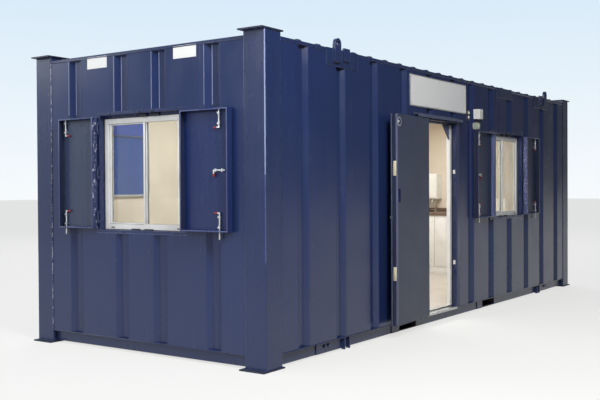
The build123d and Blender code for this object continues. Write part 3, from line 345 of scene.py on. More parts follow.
# %% Special finishes
pocket_steel, tree, shader = start_material("scraped_and_rusty_steel", IOR=1.5)
place = add(tree, "TexCoord").outputs["Object"]
scabs = add(tree, "TexNoise", {"Vector": place, "Scale": per_metre(70), "Detail": 8.0})
rust = add(tree, "MapRange", (scabs, 0.48, 0.6, 0.0, 0.9))
clods = add(tree, "TexNoise", {"Vector": place, "Scale": per_metre(25), "Detail": 6.0})
mud = add(tree, "MapRange", (clods, 0.55, 0.7, 0.0, 0.6))
rusty = add(tree, "Mix", {0: rust, 6: linear("#262C44"), 7: linear("#5A4032")}, data_type="RGBA")
muddy = add(tree, "Mix", {0: mud, 6: rusty, 7: linear("#6E6456")}, data_type="RGBA")
dull = add(tree, "MapRange", (rust, 0.0, 0.9, 0.5, 0.9))
pits = add(tree, "TexNoise", {"Vector": place, "Scale": per_metre(9), "Detail": 6.0})
wear(tree, shader, muddy, dull,
     add(tree, "Bump", {"Height": pits, "Distance": 0.0006, "Strength": 1.0}))


def felt_finish(name, deep_hex, pale_hex, **sheen):
    """Felt: two blues mingled fibre by fibre, with no gloss."""
    material, tree, shader = start_material(name, Roughness=0.95, **sheen)
    place = add(tree, "TexCoord").outputs["Object"]
    fibres = add(tree, "TexNoise", {"Vector": place, "Scale": per_metre(2), "Detail": 8.0})
    pale = add(tree, "MapRange", (fibres, 0.35, 0.7, 0.0, 0.7))
    mingled = add(tree, "Mix", {0: pale, 6: linear(deep_hex), 7: linear(pale_hex)},
                  data_type="RGBA")
    wear(tree, shader, mingled,
         bump=add(tree, "Bump", {"Height": fibres, "Distance": 0.0008, "Strength": 1.0}))
    return material


felt = felt_finish("blue_felt", "#1E3F86", "#3A5CA6", Sheen_Weight=0.5, Sheen_Roughness=0.5)
# Paler felt: paints the reflection of the window glass across the board's top.
felt_painted_reflection = felt_finish("blue_felt_painted_reflection", "#3A4C9E", "#5365B4")

glass, tree, shader = start_material("float_glass", IOR=1.52, Transmission_Weight=1.0)
place = add(tree, "TexCoord").outputs["Object"]
film = add(tree, "TexNoise", {"Vector": place, "Scale": per_metre(220), "Detail": 5.0})
dusty = add(tree, "MapRange", (film, 0.4, 0.8, 0.0, 0.5))
tint = add(tree, "Mix", {0: dusty, 6: linear("#F2F8F5"), 7: linear("#DDE4E2")}, data_type="RGBA")
wear(tree, shader, tint, add(tree, "MapRange", (film, 0.45, 0.8, 0.0, 0.12)))

FINISHES = {
    "frame_steel": frame_enamel, "wall_sheet": wall_enamel, "roof_sheet": roof_enamel,
    "shutter_steel": shutter_enamel, "door_face": door_enamel,
    "interior_panel": cream_board, "deck": vinyl_floor, "upvc": white_upvc,
    "pane": glass, "zinc": zinc, "threshold_alloy": alloy, "white_plastic": white_abs,
    "felt": felt, "pocket_steel": pocket_steel,
}
SPECIAL = {"base_plates": worn_and_shaded_enamel, "cap_plates": worn_and_shaded_enamel,
           "blank_plates": white_sheet, "door_hood": hood_enamel, "shutter_end_near": near_shutter_shade_enamel,
           "shutter_end_far": far_shutter_sheen_enamel, "window_frame_front": brightened_upvc,
           "shutter_front_left": door_enamel, "shutter_front_right": door_enamel}
slot_of = {part["node"]: part["material_slot"] for part in frame["record"]["subparts"]}
for name, solid in nodes.items():
    solid.data.materials.clear()
    solid.data.materials.append(SPECIAL.get(name, FINISHES[slot_of[name]]))
print("finished solids", len(slot_of))

# %% [markdown]
# ## Building small pieces
# Every added piece is a list of blocks, or a shape that blocks and tubes are put into.
# Real edges are never knife sharp, so sharp edges get a small rounding, given after the
# slot, and faces that meet at a gentle angle are shaded smooth. The piece then rides
# the body that carries it, so that a hinge takes its trim along.


# %% Piece helpers
def block(shape, low, high):
    """A square-cornered block between two opposite corners."""
    low, high = Vector(low), Vector(high)
    for vert in bmesh.ops.create_cube(shape, size=1.0)["verts"]:
        vert.co = Vector((low[i] + (high[i] - low[i]) * (vert.co[i] + 0.5)) for i in range(3))


def tube(shape, path, radii, sides=12):
    """A round tube along points, with a radius for each, closed at both ends."""
    path = [Vector(p) for p in path]
    if isinstance(radii, (int, float)):
        radii = [radii] * len(path)
    rings = []
    for i, point in enumerate(path):
        along = (path[min(i + 1, len(path) - 1)] - path[max(i - 1, 0)]).normalized()
        side = along.orthogonal().normalized()
        if rings and abs(along.dot(last_side)) < 0.99:
            side = (last_side - along * along.dot(last_side)).normalized()
        last_side = side
        other = along.cross(side)
        turns = [2 * math.pi * k / sides for k in range(sides)]
        rings.append([shape.verts.new(point + radii[i] * (side * math.cos(t)
                                                          + other * math.sin(t)))
                      for t in turns])
    for one, two in zip(rings, rings[1:]):
        for k in range(sides):
            shape.faces.new((one[k], one[(k + 1) % sides], two[(k + 1) % sides], two[k]))
    shape.faces.new(rings[0][::-1])
    shape.faces.new(rings[-1])


def prism(shape, foot, head):
    """A solid between two outlines with the same number of points, in order round it."""
    foot, head = ([shape.verts.new(point) for point in outline] for outline in (foot, head))
    for k in range(len(foot)):
        after = (k + 1) % len(foot)
        shape.faces.new((foot[k], foot[after], head[after], head[k]))
    shape.faces.new(foot[::-1])
    shape.faces.new(head)


def column(shape, plan, low, high):
    """An upright solid over an outline in plan."""
    prism(shape, *[[(x, y, z) for x, y in plan] for z in (low, high)])


def make_piece(name, shape, material, slot, rounding=0.0, segments=2, body="cabin", place=None):
    """Rounds a shape, or a list of blocks by their corners, and hands it to its body."""
    if isinstance(shape, list):
        corners, shape = shape, bmesh.new()
        for low, high in corners:
            block(shape, low, high)
    if place:
        shape.transform(place)
    bmesh.ops.recalc_face_normals(shape, faces=shape.faces)
    if rounding:
        sharp = [e for e in shape.edges if e.is_manifold and e.calc_face_angle() > 0.9]
        bmesh.ops.bevel(shape, geom=sharp, offset=rounding, segments=segments,
                        profile=0.5, affect="EDGES", clamp_overlap=True)
    mesh = bpy.data.meshes.new(name)
    shape.to_mesh(mesh)
    shape.free()
    mesh.shade_smooth()
    mesh.set_sharp_from_angle(angle=math.radians(38))
    mesh.materials.append(material)
    piece = bpy.data.objects.new(name, mesh)
    bpy.context.scene.collection.objects.link(piece)
    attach(piece, body)
    print(name, "faces", len(mesh.polygons), "on", body)


# %% [markdown]
# ## Sizes shared with the solids
# Trim has to meet the solids to a fraction of a millimetre. Their main sizes are listed
# once, in metres, so that every piece below is placed from the same values.

# %% Shared sizes
HALF_L, HALF_W, HEIGHT = 3.660, 1.370, 2.700
FACE_X, FACE_Y = 3.654, 1.364
POST_X, POST_Y = 3.445, 1.155
ROOM_X, ROOM_Y, CEILING = 3.554, 1.264, 2.560
PLATE, RAIL_TOP, DECK_TOP, WALL_TOP = 0.012, 0.118, 0.138, 2.622
CORNERS = [(sx, sy) for sx in (-1, 1) for sy in (-1, 1)]
POCKETS = ((-1.433, -1.067), (0.617, 0.983))
EYE_X, PAD_LOW, PAD_REACH = 2.635, 2.500, (2.2, 2.8)
DOOR_LEFT, DOOR_RIGHT, DOOR_TOP = -0.995, -0.165, 2.150
FRAME_LEFT, FRAME_RIGHT, FRAME_TOP = -1.075, -0.085, 2.180
STOP_Y, STOP, CLEAR_TOP = -1.305, 0.030, 2.130
WINDOW_X, WINDOW_W = 1.320, 1.010
WINDOW_LOW, WINDOW_TOP, SASH_TOP = 1.080, 2.100, 2.078
SHUT_LOW, SHUT_TOP = 1.090, 2.090
TO_DOOR_SIDE, TO_WINDOW_END, UPWARD = (0, -1, 0), (-1, 0, 0), (0, 0, 1)
print("wall faces at", FACE_X, FACE_Y, "window centre", WINDOW_X)

# %% [markdown]
# ## Weld beads
# The plates are welded to the posts all round, and the folded wall sheets to the posts
# from top to bottom. A hand-laid bead is a row of overlapping puddles: a round rope
# whose thickness rises and falls every few millimetres. Each seam is one tube whose
# radius follows that ripple with a little chance in it, which costs few faces and
# catches small sparks of light as real beads do.


# %% Welds
def weld(shape, start, end, radius=0.0035, ripple=0.009):
    """A bead along a straight seam, with one ring for each half ripple."""
    start, end = Vector(start), Vector(end)
    count = max(4, round((end - start).length / ripple * 2))
    path, radii = [], []
    for i in range(count + 1):
        path.append(start.lerp(end, i / count))
        radii.append(radius * (1.15 if i % 2 else 0.75) * random.uniform(0.85, 1.15))
    tube(shape, path, radii, sides=6)


def upright_weld(shape, x, y, low, high, *bead):
    """A bead that runs straight up."""
    weld(shape, (x, y, low), (x, y, high), *bead)


SEAM_RADIUS, SEAM_RIPPLE = 0.0045, 0.016
POCKET_Y, PAD_Y, EYE_Y, EYE_HALF = 1.325, 1.3645, 1.371, 0.047
random.seed(4)
beads = bmesh.new()
for sx, sy in CORNERS:
    x0, x1 = sorted((sx * HALF_L, sx * POST_X))
    y0, y1 = sorted((sy * HALF_W, sy * POST_Y))
    for z in (PLATE, HEIGHT - PLATE):
        weld(beads, (x0, sy * HALF_W, z), (x1, sy * HALF_W, z))
        weld(beads, (sx * HALF_L, y0, z), (sx * HALF_L, y1, z))
    for x, y in ((POST_X, FACE_Y), (FACE_X, POST_Y)):
        upright_weld(beads, sx * x, sy * y, RAIL_TOP, WALL_TOP, SEAM_RADIUS, SEAM_RIPPLE)
for sides in POCKETS:
    for sy in (-1, 1):
        for x in sides:
            upright_weld(beads, x, sy * POCKET_Y, 0.020, 0.108)
for sx, sy in CORNERS:
    for x in (2.265, 2.780):
        upright_weld(beads, sx * x, sy * PAD_Y, PAD_LOW + 0.002, 2.64, 0.004)
    for edge in (-EYE_HALF, EYE_HALF):
        upright_weld(beads, sx * EYE_X + edge, sy * EYE_Y, 2.542, 2.69, 0.005)
    low, high = sorted((sx * 2.265, sx * 2.780))
    weld(beads, (low, sy * PAD_Y, PAD_LOW + 0.001), (high, sy * PAD_Y, PAD_LOW + 0.001), 0.004)
make_piece("weld_beads", beads, frame_enamel, "frame_steel")

# On the window end, pale chips on the bead at one post paint its glints, and a paler finish on the
# bead at the other post paints a highlight line.
for name, finish, out, y, radius in (
        ("chipped_seam_welds", weld_glint_enamel, 0.002, POST_Y + 0.004, 0.0055),
        ("dulled_seam_weld", edge_highlight_enamel, 0.001, -POST_Y - 0.003, SEAM_RADIUS)):
    seam = bmesh.new()
    upright_weld(seam, -FACE_X - out, y, RAIL_TOP, WALL_TOP, radius, 0.022)
    make_piece(name, seam, finish, "frame_steel")

# %% [markdown]
# ## Edges of the wall sheets
# A folded sheet ends in a hem: the sheet turned back on itself, which leaves a small
# round edge. It shows along the foot of every wall and under the roof, and it catches
# the sky as a thin bright line. Each hem is a slim rounded strip.

# %% Hems
HEMS = ((-0.004, 0.0025, RAIL_TOP - 0.007, RAIL_TOP + 0.004),  # back, front, low, high
        (-0.002, 0.0040, WALL_TOP + 0.002, WALL_TOP + 0.012))
hems = []
for side in (-1, 1):
    for back, front, low, high in HEMS:
        hems += [((-POST_X, side * (FACE_Y + back), low), (POST_X, side * (FACE_Y + front), high)),
                 ((side * (FACE_X + back), -POST_Y, low), (side * (FACE_X + front), POST_Y, high))]
make_piece("sheet_hems", hems, frame_enamel, "frame_steel", 0.0012)

# %% [markdown]
# ## Folds of the grooves
# The wall sheet is stiffened by grooves bent on a press brake: a flat, a slope, a narrow
# floor and a slope back. The press leaves a radius of about a centimetre at each bend,
# and that round is what draws the bright upright lines on a painted wall. The solids
# have sharp bends, so each outer bend gets a round ridge a millimetre proud, and each
# inner one a hollow fillet. Both are arcs drawn in plan and raised to the wall's height.
# Above the window head on the window end, one bend of each groove is wider and its pale finish
# paints a highlight.

# %% Groove folds
MOUTH, GROOVE_FLOOR, GROOVE_DEPTH = 0.150, 0.075, 0.037
FOLD_REACH, WIDE_REACH, FOLD_PROUD, FOLD_STEPS = 0.0085, 0.013, 0.0012, 5
FIRST_GROOVE, SIDE_PITCH, END_PITCH = 0.230, 0.580, 0.597
WINDOW_FOOT, WINDOW_HEAD, WINDOW_EDGE = 1.050, 2.130, WINDOW_W / 2 + 0.040
slope = math.atan2(GROOVE_DEPTH, (MOUTH - GROOVE_FLOOR) / 2)


def fold_outline(hollow, reach):
    """Plan of a bend at the origin: flat to the left, slope going in at the right."""
    radius = reach / math.tan((math.pi - slope) / 2)
    side = 1 if hollow else -1
    proud = 0 if hollow else FOLD_PROUD
    turns = [slope * k / FOLD_STEPS for k in range(FOLD_STEPS + 1)]
    arc = [((radius + proud) * math.sin(t) - reach,
            side * (radius - (radius - side * proud) * math.cos(t))) for t in turns]
    behind = [(0.002, -0.002), (-reach, -0.002)] if hollow else [(0, -0.012), (-reach, -0.004)]
    return arc + behind


def groove_folds(shape, centre, low, high, to_wall, sides=(-1, 1), reach=FOLD_REACH):
    """The bends on each side of a groove; to_wall turns across and out into a plan place."""
    for side in sides:
        outer = [(centre + side * (MOUTH / 2 - x), y) for x, y in fold_outline(False, reach)]
        inner = [(centre + side * (GROOVE_FLOOR / 2 + x), y - GROOVE_DEPTH)
                 for x, y in fold_outline(True, reach)]
        for outline in (outer, inner):
            column(shape, [to_wall(x, y) for x, y in outline], low, high)


def groove_top(x):
    """Where a groove of a long wall ends: under a lifting pad or under the roof."""
    return PAD_LOW if PAD_REACH[0] < abs(x) < PAD_REACH[1] else WALL_TOP


def front_runs(x):
    """Heights over which a groove of the door side shows."""
    if FRAME_LEFT < x < FRAME_RIGHT:
        return [(FRAME_TOP, WALL_TOP)]
    if abs(x - WINDOW_X) < WINDOW_EDGE:
        return [(RAIL_TOP, WINDOW_FOOT), (WINDOW_HEAD, WALL_TOP)]
    return [(RAIL_TOP, groove_top(x))]


def to_window_end(across, out):
    """A plan place on the window end, out from its face."""
    return -FACE_X - out, across


folds = {name: bmesh.new() for name in ("front", "back", "window_end", "far_end",
                                        "window_end_top")}
for x in [side * (FIRST_GROOVE + SIDE_PITCH * k) for k in range(6) for side in (-1, 1)]:
    for low, high in front_runs(x):
        groove_folds(folds["front"], x, low, high, lambda a, out: (a, -FACE_Y - out))
    groove_folds(folds["back"], x, RAIL_TOP, groove_top(x), lambda a, out: (a, FACE_Y + out))
for y in [side * (FIRST_GROOVE + END_PITCH * k) for k in range(2) for side in (-1, 1)]:
    below = WINDOW_FOOT if abs(y) < WINDOW_EDGE else WINDOW_HEAD
    groove_folds(folds["window_end"], y, RAIL_TOP, below, to_window_end)
    groove_folds(folds["window_end"], y, WINDOW_HEAD, WALL_TOP, to_window_end, (-1,))
    groove_folds(folds["window_end_top"], y, WINDOW_HEAD, WALL_TOP, to_window_end, (1,),
                 WIDE_REACH)
    groove_folds(folds["far_end"], y, RAIL_TOP, WALL_TOP, lambda a, out: (FACE_X + out, a))
for name, shape in folds.items():
    # The wider bends above the window head wear a pale finish, a painted highlight.
    finish = bend_highlight_enamel if name.endswith("top") else wall_enamel
    make_piece(f"groove_folds_{name}", shape, finish, "wall_sheet")

# %% [markdown]
# ## Painted highlights on the post corners
# The outer corners of the posts are rounded and catch the light as a bright upright
# line, strongest in the upper half. Each corner gets a thin rounded skin in a pale finish
# that paints this highlight, and a less pale one lower down where it fades.

# %% Post corners
CORNER_R, CORNER_PROUD = 0.008, 0.0007
HIGHLIGHT_FROM, FAINT_HIGHLIGHT_FROM = 1.55, 0.85
# Skins that paint the corner highlight: bright above, fainter below.
corner_highlight, faint_corner_highlight = bmesh.new(), bmesh.new()
for sx, sy in CORNERS:
    cx, cy = sx * (HALF_L - CORNER_R), sy * (HALF_W - CORNER_R)
    reach = CORNER_R + CORNER_PROUD
    turns = [math.radians(12 + 11 * k) for k in range(7)]
    skin = [(cx + sx * reach * math.cos(t), cy + sy * reach * math.sin(t)) for t in turns]
    column(corner_highlight, skin + [(cx, cy)], HIGHLIGHT_FROM, HEIGHT - PLATE - 0.004)
    column(faint_corner_highlight, skin + [(cx, cy)], FAINT_HIGHLIGHT_FROM, HIGHLIGHT_FROM)
make_piece("post_corner_painted_highlight", corner_highlight, bend_highlight_enamel, "frame_steel")
make_piece("post_corner_faint_painted_highlight", faint_corner_highlight, edge_highlight_enamel, "frame_steel")

# %% [markdown]
# ## Screws and rivets
# Sheet trim is held by self-drilling screws with a flat round head, and window frames
# by pop rivets. Only the head shows. It is a low dome, drawn as a short tube that
# narrows to its top, with a shallow dimple where the pin broke off.


# %% Screws
def stud(shape, foot, outward, radius=0.006, height=0.003):
    """A low domed head on a surface."""
    foot, outward = Vector(foot), Vector(outward).normalized()
    steps = [(-0.3, 1.0), (0.35, 1.0), (0.75, 0.8), (1.0, 0.45), (0.85, 0.12)]
    tube(shape, [foot + outward * height * s for s, _ in steps],
         [radius * r for _, r in steps], sides=10)


def in_window(x, z, out):
    """The two windows' places for a point given across, up and out from the wall face."""
    return [Vector((WINDOW_X + x, -FACE_Y - out, z)), Vector((-FACE_X - out, -x, z))]


def window_rivet(shape, x, z):
    """A pop rivet at the same place of both windows."""
    for foot, outward in zip(in_window(x, z, 0), (TO_DOOR_SIDE, TO_WINDOW_END)):
        stud(shape, foot, outward, 0.0045, 0.0025)


RIVET_X, RIVET_ROWS = 0.525, (1.065, 2.115)
ROOF_END_X, ROOF_END_Z, EAVES_Y, EAVES_Z = 3.425, 2.6532, 1.33, 2.663
heads = bmesh.new()
for step in range(6):
    for x in (FRAME_LEFT + 0.02, FRAME_RIGHT - 0.02):
        stud(heads, (x, -FACE_Y, 0.30 + step * 0.36), TO_DOOR_SIDE)
for step in range(5):
    stud(heads, (DOOR_LEFT - 0.09 + step * 0.235, -FACE_Y - 0.003, FRAME_TOP + 0.0195),
         TO_DOOR_SIDE, 0.005)
    for x in (-RIVET_X, RIVET_X):
        window_rivet(heads, x, 1.13 + step * 0.23)
    for z in RIVET_ROWS:
        window_rivet(heads, -0.44 + step * 0.22, z)
for sx in (-1, 1):
    for step in range(4):
        stud(heads, (sx * ROOF_END_X, -0.9 + step * 0.6, ROOF_END_Z), UPWARD)
for rib in range(-11, 12):
    for sy in (-1, 1):
        stud(heads, (rib * 0.29, sy * EAVES_Y, EAVES_Z), UPWARD, 0.007, 0.004)
make_piece("screw_heads", heads, frame_enamel, "frame_steel")

# %% [markdown]
# ## Window seals, beads and drains
# A double-glazed pane sits in the frame against a black rubber seal and is held by a
# sloping white bead. Rain that gets behind runs out through slots in the sill; the
# slots are dark strips, painted shade. Seal and bead run round each pane; the seal is a
# dark line 3 mm wide that makes the edge of the glass read as glass. A second seal fills
# the gap between steel and frame, and fine dark strips paint the shade in the gap round
# the sliding sash and beside its meeting stile.

# %% Seals and beads
PANE_LOW, PANE_TOP, PANE_SIDE = WINDOW_LOW + 0.050, SASH_TOP - 0.050, WINDOW_W / 2 - 0.050
STILE, RAIL, MEETING = 0.026, 0.010, 0.015
DRAINS, DRAIN_HALF = (-0.40, 0.40), 0.020
PANES = [(-PANE_SIDE + STILE, -MEETING, PANE_LOW + RAIL, PANE_TOP - RAIL),
         (MEETING, PANE_SIDE, PANE_LOW, PANE_TOP)]


def ring(shape, x0, x1, z0, z1, wide, out0, out1, window):
    """Four strips round the inside of an opening, between two depths behind the wall."""
    strips = [(x0, x0 + wide, z0, z1), (x1 - wide, x1, z0, z1),
              (x0 + wide, x1 - wide, z0, z0 + wide), (x0 + wide, x1 - wide, z1 - wide, z1)]
    for a, b, c, d in strips:
        block(shape, in_window(a, c, out0)[window], in_window(b, d, out1)[window])


for window, name, bead_finish in ((0, "front", brightened_upvc), (1, "end", white_upvc)):
    seals, trims, dark = bmesh.new(), bmesh.new(), bmesh.new()
    for x0, x1, z0, z1 in PANES:
        bead_front = -0.0735 if x0 < 0 else -0.0660
        ring(seals, x0, x1, z0, z1, 0.005, -0.0805, -0.0765, window)
        ring(trims, x0, x1, z0, z1, 0.0035, -0.0770, bead_front, window)
    ring(dark, -WINDOW_W / 2, WINDOW_W / 2, WINDOW_LOW, SASH_TOP, 0.005, -0.062, -0.054,
         window)
    # Dark strips in the gap round the sliding sash, the meeting gap and the drain slots paint
    # their shade.
    ring(dark, -PANE_SIDE, -MEETING, PANE_LOW, PANE_TOP, 0.003, -0.0725, -0.0715, window)
    slots = [(x - DRAIN_HALF, x + DRAIN_HALF, WINDOW_LOW + 0.016, WINDOW_LOW + 0.025, -0.0602,
              -0.0560) for x in DRAINS]
    for shape, strips in ((trims, [(-0.013, 0.008, PANE_LOW, PANE_TOP, -0.060, -0.056)]),
                          (dark, [(0.009, 0.0125, PANE_LOW, PANE_TOP, -0.0600, -0.0580)] + slots)):
        for x0, x1, z0, z1, back, front in strips:
            block(shape, in_window(x0, z0, back)[window], in_window(x1, z1, front)[window])
    make_piece(f"glass_seals_{name}", seals, rubber, "upvc")
    make_piece(f"glazing_beads_{name}", trims, bead_finish, "upvc", 0.0010)
    make_piece(f"window_seals_and_gap_shade_{name}", dark, rubber, "upvc", 0.0006)

# %% [markdown]
# ## Edges of the window openings
# The openings are cut in the steel and their cut edges are ground smooth. Each edge gets
# a paler line 3 mm wide that paints the highlight along it, and so does the front of the
# sill.


# %% Opening edges
def on_windows(shape, *strips):
    """Blocks at both windows: across from and to, up from and to, out from and to."""
    for x0, x1, z0, z1, out0, out1 in strips:
        for low, high in zip(in_window(x0, z0, out0), in_window(x1, z1, out1)):
            block(shape, low, high)


edges = bmesh.new()
LINE, HALF, SILL_HALF = 0.0032, WINDOW_W / 2, 0.545
on_windows(edges, *[(*strip, -0.002, 0.0012) for strip in (
    (-HALF - LINE, -HALF, WINDOW_LOW - LINE, WINDOW_TOP),
    (HALF, HALF + LINE, WINDOW_LOW - LINE, WINDOW_TOP),
    (-HALF, HALF, WINDOW_LOW - LINE, WINDOW_LOW), (-SILL_HALF, SILL_HALF, 1.0495, 1.0550))])
make_piece("opening_edges_painted_highlight", edges, edge_highlight_enamel, "frame_steel", 0.0006)

# %% [markdown]
# ## Keepers for the shutters
# The bolts of a closed shutter shoot into keepers: short lengths of folded plate with a
# slot, welded under the head of the opening and on its sill. They lie in shadow, and their
# colour is darkened to paint that shade, so they read as small dark blocks at the white
# frame's edges. Above the opening two plain lugs stop the closed leaves; they wear the
# same painted shade.

# %% Keepers
KEEPER_BACK, KEEPER_FRONT = -0.050, -0.037
keepers = bmesh.new()
for x in (0.000, 0.147):
    on_windows(keepers, (x - 0.046, x + 0.046, 2.072, 2.0995, -0.053, KEEPER_FRONT),
               (x - 0.021, x + 0.021, 2.1035, 2.108, 0.0, 0.022))
for x in (-0.097, 0.060):
    on_windows(keepers, (x - 0.050, x + 0.050, 1.0795, 1.0845, KEEPER_BACK, -0.020),
               (x - 0.050, x + 0.050, 1.0795, 1.093, KEEPER_BACK, KEEPER_FRONT))
make_piece("shutter_keepers", keepers, keeper_shade_enamel, "frame_steel", 0.0015)

# %% [markdown]
# ## Trim on the shutters
# Each shutter is drawn once in its own measures: across from the hinge, out from the
# wall, and up. A matrix carries it to its leaf. The bolt handles wear red vinyl
# sleeves, so that a hand finds them. The hinge edge of each narrow leaf rubs against
# the frame and has lost paint down to the zinc, which shows as a mottled pale strip.

# %% Shutter trim
AXIS, AXIS_OUT, WIDE, NARROW = 0.513, 0.020, 0.514, 0.458
SKIN, EDGE = -0.009, 0.014
FLANGE, FILM, CLEAR, HEM = 0.004, 0.0012, 0.0045, 0.013
HANDLES, MIDDLE_HANDLE, RIVETS = (1.936, 1.244), 1.550, (2.041, 1.957, 1.223, 1.139)
# The hinge finish is worn paint on the narrow leaves and painted light on the wide ones; the
# free-edge finish is painted shade, except on the near end leaf.
LEAVES = {  # body: window, side, width, bolt from the free edge, finish at hinge and free edge
    "end_near_shutter": (1, 1, WIDE, 0.120, worn_and_shaded_enamel, wall_enamel),
    "end_far_shutter": (1, -1, NARROW, 0.056, rubbed_enamel, worn_and_shaded_enamel),
    "front_left_shutter": (0, -1, WIDE, 0.120, flange_sheen_enamel, worn_and_shaded_enamel),
    "front_right_shutter": (0, 1, NARROW, 0.056, chipped_enamel, worn_and_shaded_enamel),
}
for body, (window, side, width, from_edge, hinge_finish, free_finish) in LEAVES.items():
    axis = in_window(side * AXIS, 0, AXIS_OUT)[window]
    across, out = (((side, 0), (0, -1)), ((0, -side), (-1, 0)))[window]
    on_leaf = {"body": body, "place": Matrix((
        (across[0], out[0], 0, axis.x), (across[1], out[1], 0, axis.y),
        (0, 0, 1, 0), (0, 0, 0, 1)))}
    rod_x = EDGE + width - from_edge
    tips = [((rod_x - 0.053, -0.0035, z - 0.0085), (rod_x - 0.024, 0.0155, z + 0.0085))
            for z in HANDLES]
    films = [("free_flange", EDGE + width - FLANGE, -1, free_finish)]
    if width == WIDE:
        tips.append(((rod_x - 0.066, -0.0035, MIDDLE_HANDLE - 0.012),
                     (rod_x - 0.048, 0.0155, MIDDLE_HANDLE + 0.012)))
        films = [("hinge_flange", EDGE + FLANGE, 1, hinge_finish),
                 ("free_flange", EDGE + width, 1, free_finish)]
    make_piece(f"red_sleeves_{body}", tips, red_sleeve, "zinc", 0.003, 3, **on_leaf)
    # The hems of each tray wear a paler finish that paints their highlight.
    folds = [((x, SKIN + 0.055, SHUT_LOW), (x + inward, SKIN + 0.0588, SHUT_TOP))
             for x, inward in ((EDGE, HEM), (EDGE + width, -HEM))]
    folds += [((EDGE + HEM, SKIN + 0.055, z), (EDGE + width - HEM, SKIN + 0.0588, z + inward))
              for z, inward in ((SHUT_LOW, HEM), (SHUT_TOP, -HEM))]
    make_piece(f"shutter_hems_painted_highlight_{body}", folds, edge_highlight_enamel, "shutter_steel", 0.0015, **on_leaf)
    rivets = bmesh.new()
    for z in RIVETS:
        stud(rivets, (rod_x, 0.0172, z), (0, 1, 0), 0.0042, 0.003)
    make_piece(f"bolt_rivets_{body}", rivets, zinc, "zinc", **on_leaf)
    # Each flange face is a thin skin whose finish paints light on the flange: a sheen where pale,
    # shade where dark.
    for part, edge, proud, finish in films:
        low, high = sorted((edge - proud * 0.0006, edge + proud * FILM))
        face = [((low, SKIN + 0.003, SHUT_LOW + CLEAR), (high, SKIN + 0.0535, SHUT_TOP - CLEAR))]
        make_piece(f"{part}_face_{body}", face, finish, "shutter_steel", 0.0003, 1, **on_leaf)
    if width == NARROW:
        strip = [((EDGE - 0.0018, -0.0050, SHUT_LOW + 0.002),
                  (EDGE + 0.0002, 0.0490, SHUT_TOP - 0.002))]
        make_piece(f"rubbed_strip_{body}", strip, hinge_finish, "shutter_steel", 0.0005, 1,
                   **on_leaf)

# %% [markdown]
# ## The door
# The leaf hangs open against the wall. Its lock edge is a folded channel with two brass
# lock plates, whose bolts stand out a little. Near the top is a vent disc with a thumb
# plate, and at hand height a recessed pull: a rim round a folded cup. All are drawn in
# the leaf's own measures, along it from the hinge and through it, and swung open with it.

# %% Door trim
OPEN, HINGE = math.radians(175.7), (-0.998, -1.380, 0)
on_door = {"body": "door",
           "place": Matrix.Translation(HINGE) @ Matrix.Rotation(-OPEN, 4, "Z")}
LEAF_IN, LEAF_END, LEAF_LOW, LEAF_TOP = 0.070, 0.828, 0.128, 2.145
CORE_END, FOLD_OUT, FOLD_IN = LEAF_END - 0.026, 0.0015, LEAF_IN + 0.0022

plates = []
for low, high in ((1.555, 1.695), (0.560, 0.690)):
    plates += [((CORE_END - 0.001, 0.031, low), (CORE_END + 0.0025, 0.064, high)),
               ((CORE_END + 0.002, 0.040, low + 0.045), (CORE_END + 0.009, 0.052, high - 0.05))]
make_piece("brass_lock_plates", plates, lacquered_brass, "zinc", 0.0008, **on_door)
# The face of the lock edge is darkened: a painted shade.
edge_face = [((CORE_END - 0.0005, 0.0275, LEAF_LOW + 0.003),
              (CORE_END + 0.0010, LEAF_IN - 0.0125, LEAF_TOP - 0.003))]
make_piece("lock_edge_painted_shade", edge_face, worn_and_shaded_enamel, "door_face", 0.0003, 1, **on_door)
# Strips on the folds of the lock edge, whose pale finish paints their highlights.
edge_folds = [((x0, y0, LEAF_LOW + 0.002), (x1, y1, LEAF_TOP - 0.002)) for x0, x1, y0, y1 in (
    (CORE_END - 0.018, CORE_END + FOLD_OUT, LEAF_IN - 0.001, FOLD_IN),
    (CORE_END - 0.001, CORE_END + FOLD_OUT, LEAF_IN - 0.012, FOLD_IN),
    (LEAF_END - 0.006, LEAF_END + FOLD_OUT, 0.0245, 0.0285))]
make_piece("door_edge_fold_painted_highlights", edge_folds, door_highlight_enamel, "door_face", 0.0012, **on_door)

disc = bmesh.new()
centre = Vector((LEAF_END - 0.077, LEAF_IN, 2.070))
tube(disc, [centre + Vector((0, y, 0)) for y in (0.0020, 0.0061, 0.0063)],
     [0.036, 0.034, 0.020], 32)
make_piece("vent_disc_cap", disc, door_enamel, "door_face", **on_door)
# The thumb plate's white finish paints the glint of its metal.
thumb = [(centre + Vector((0.002, 0.0040, -0.009)), centre + Vector((0.038, 0.0064, 0.009)))]
make_piece("disc_thumb_plate_painted_glint", thumb, white_abs, "zinc", 0.0008, **on_door)


def in_pull(x0, x1, y0, y1, z0, z1):
    """Corners of a block given from the pull's right edge, the leaf's inner face and up."""
    right_edge = LEAF_END - 0.040
    return (right_edge + x0, LEAF_IN + y0, z0), (right_edge + x1, LEAF_IN + y1, z1)


grip = [in_pull(x, x + 0.008, -0.001, 0.002, 1.297, 1.437) for x in (-0.074, -0.004)]
grip += [in_pull(-0.074, 0.004, -0.001, 0.002, z, z + 0.008) for z in (1.296, 1.430)]
grip.append(in_pull(-0.020, -0.004, -0.017, -0.002, 1.302, 1.432))
make_piece("pull_rim", grip, door_enamel, "door_face", 0.0012, **on_door)
CUP = (1.3005, 1.4335)
cup = [in_pull(x, x + 0.003, -0.0150, -0.0005, *CUP) for x in (-0.0695, -0.0035)]
cup.append(in_pull(-0.0695, -0.0005, -0.0177, -0.0150, *CUP))
make_piece("pull_cup", cup, wall_enamel, "door_face", **on_door)

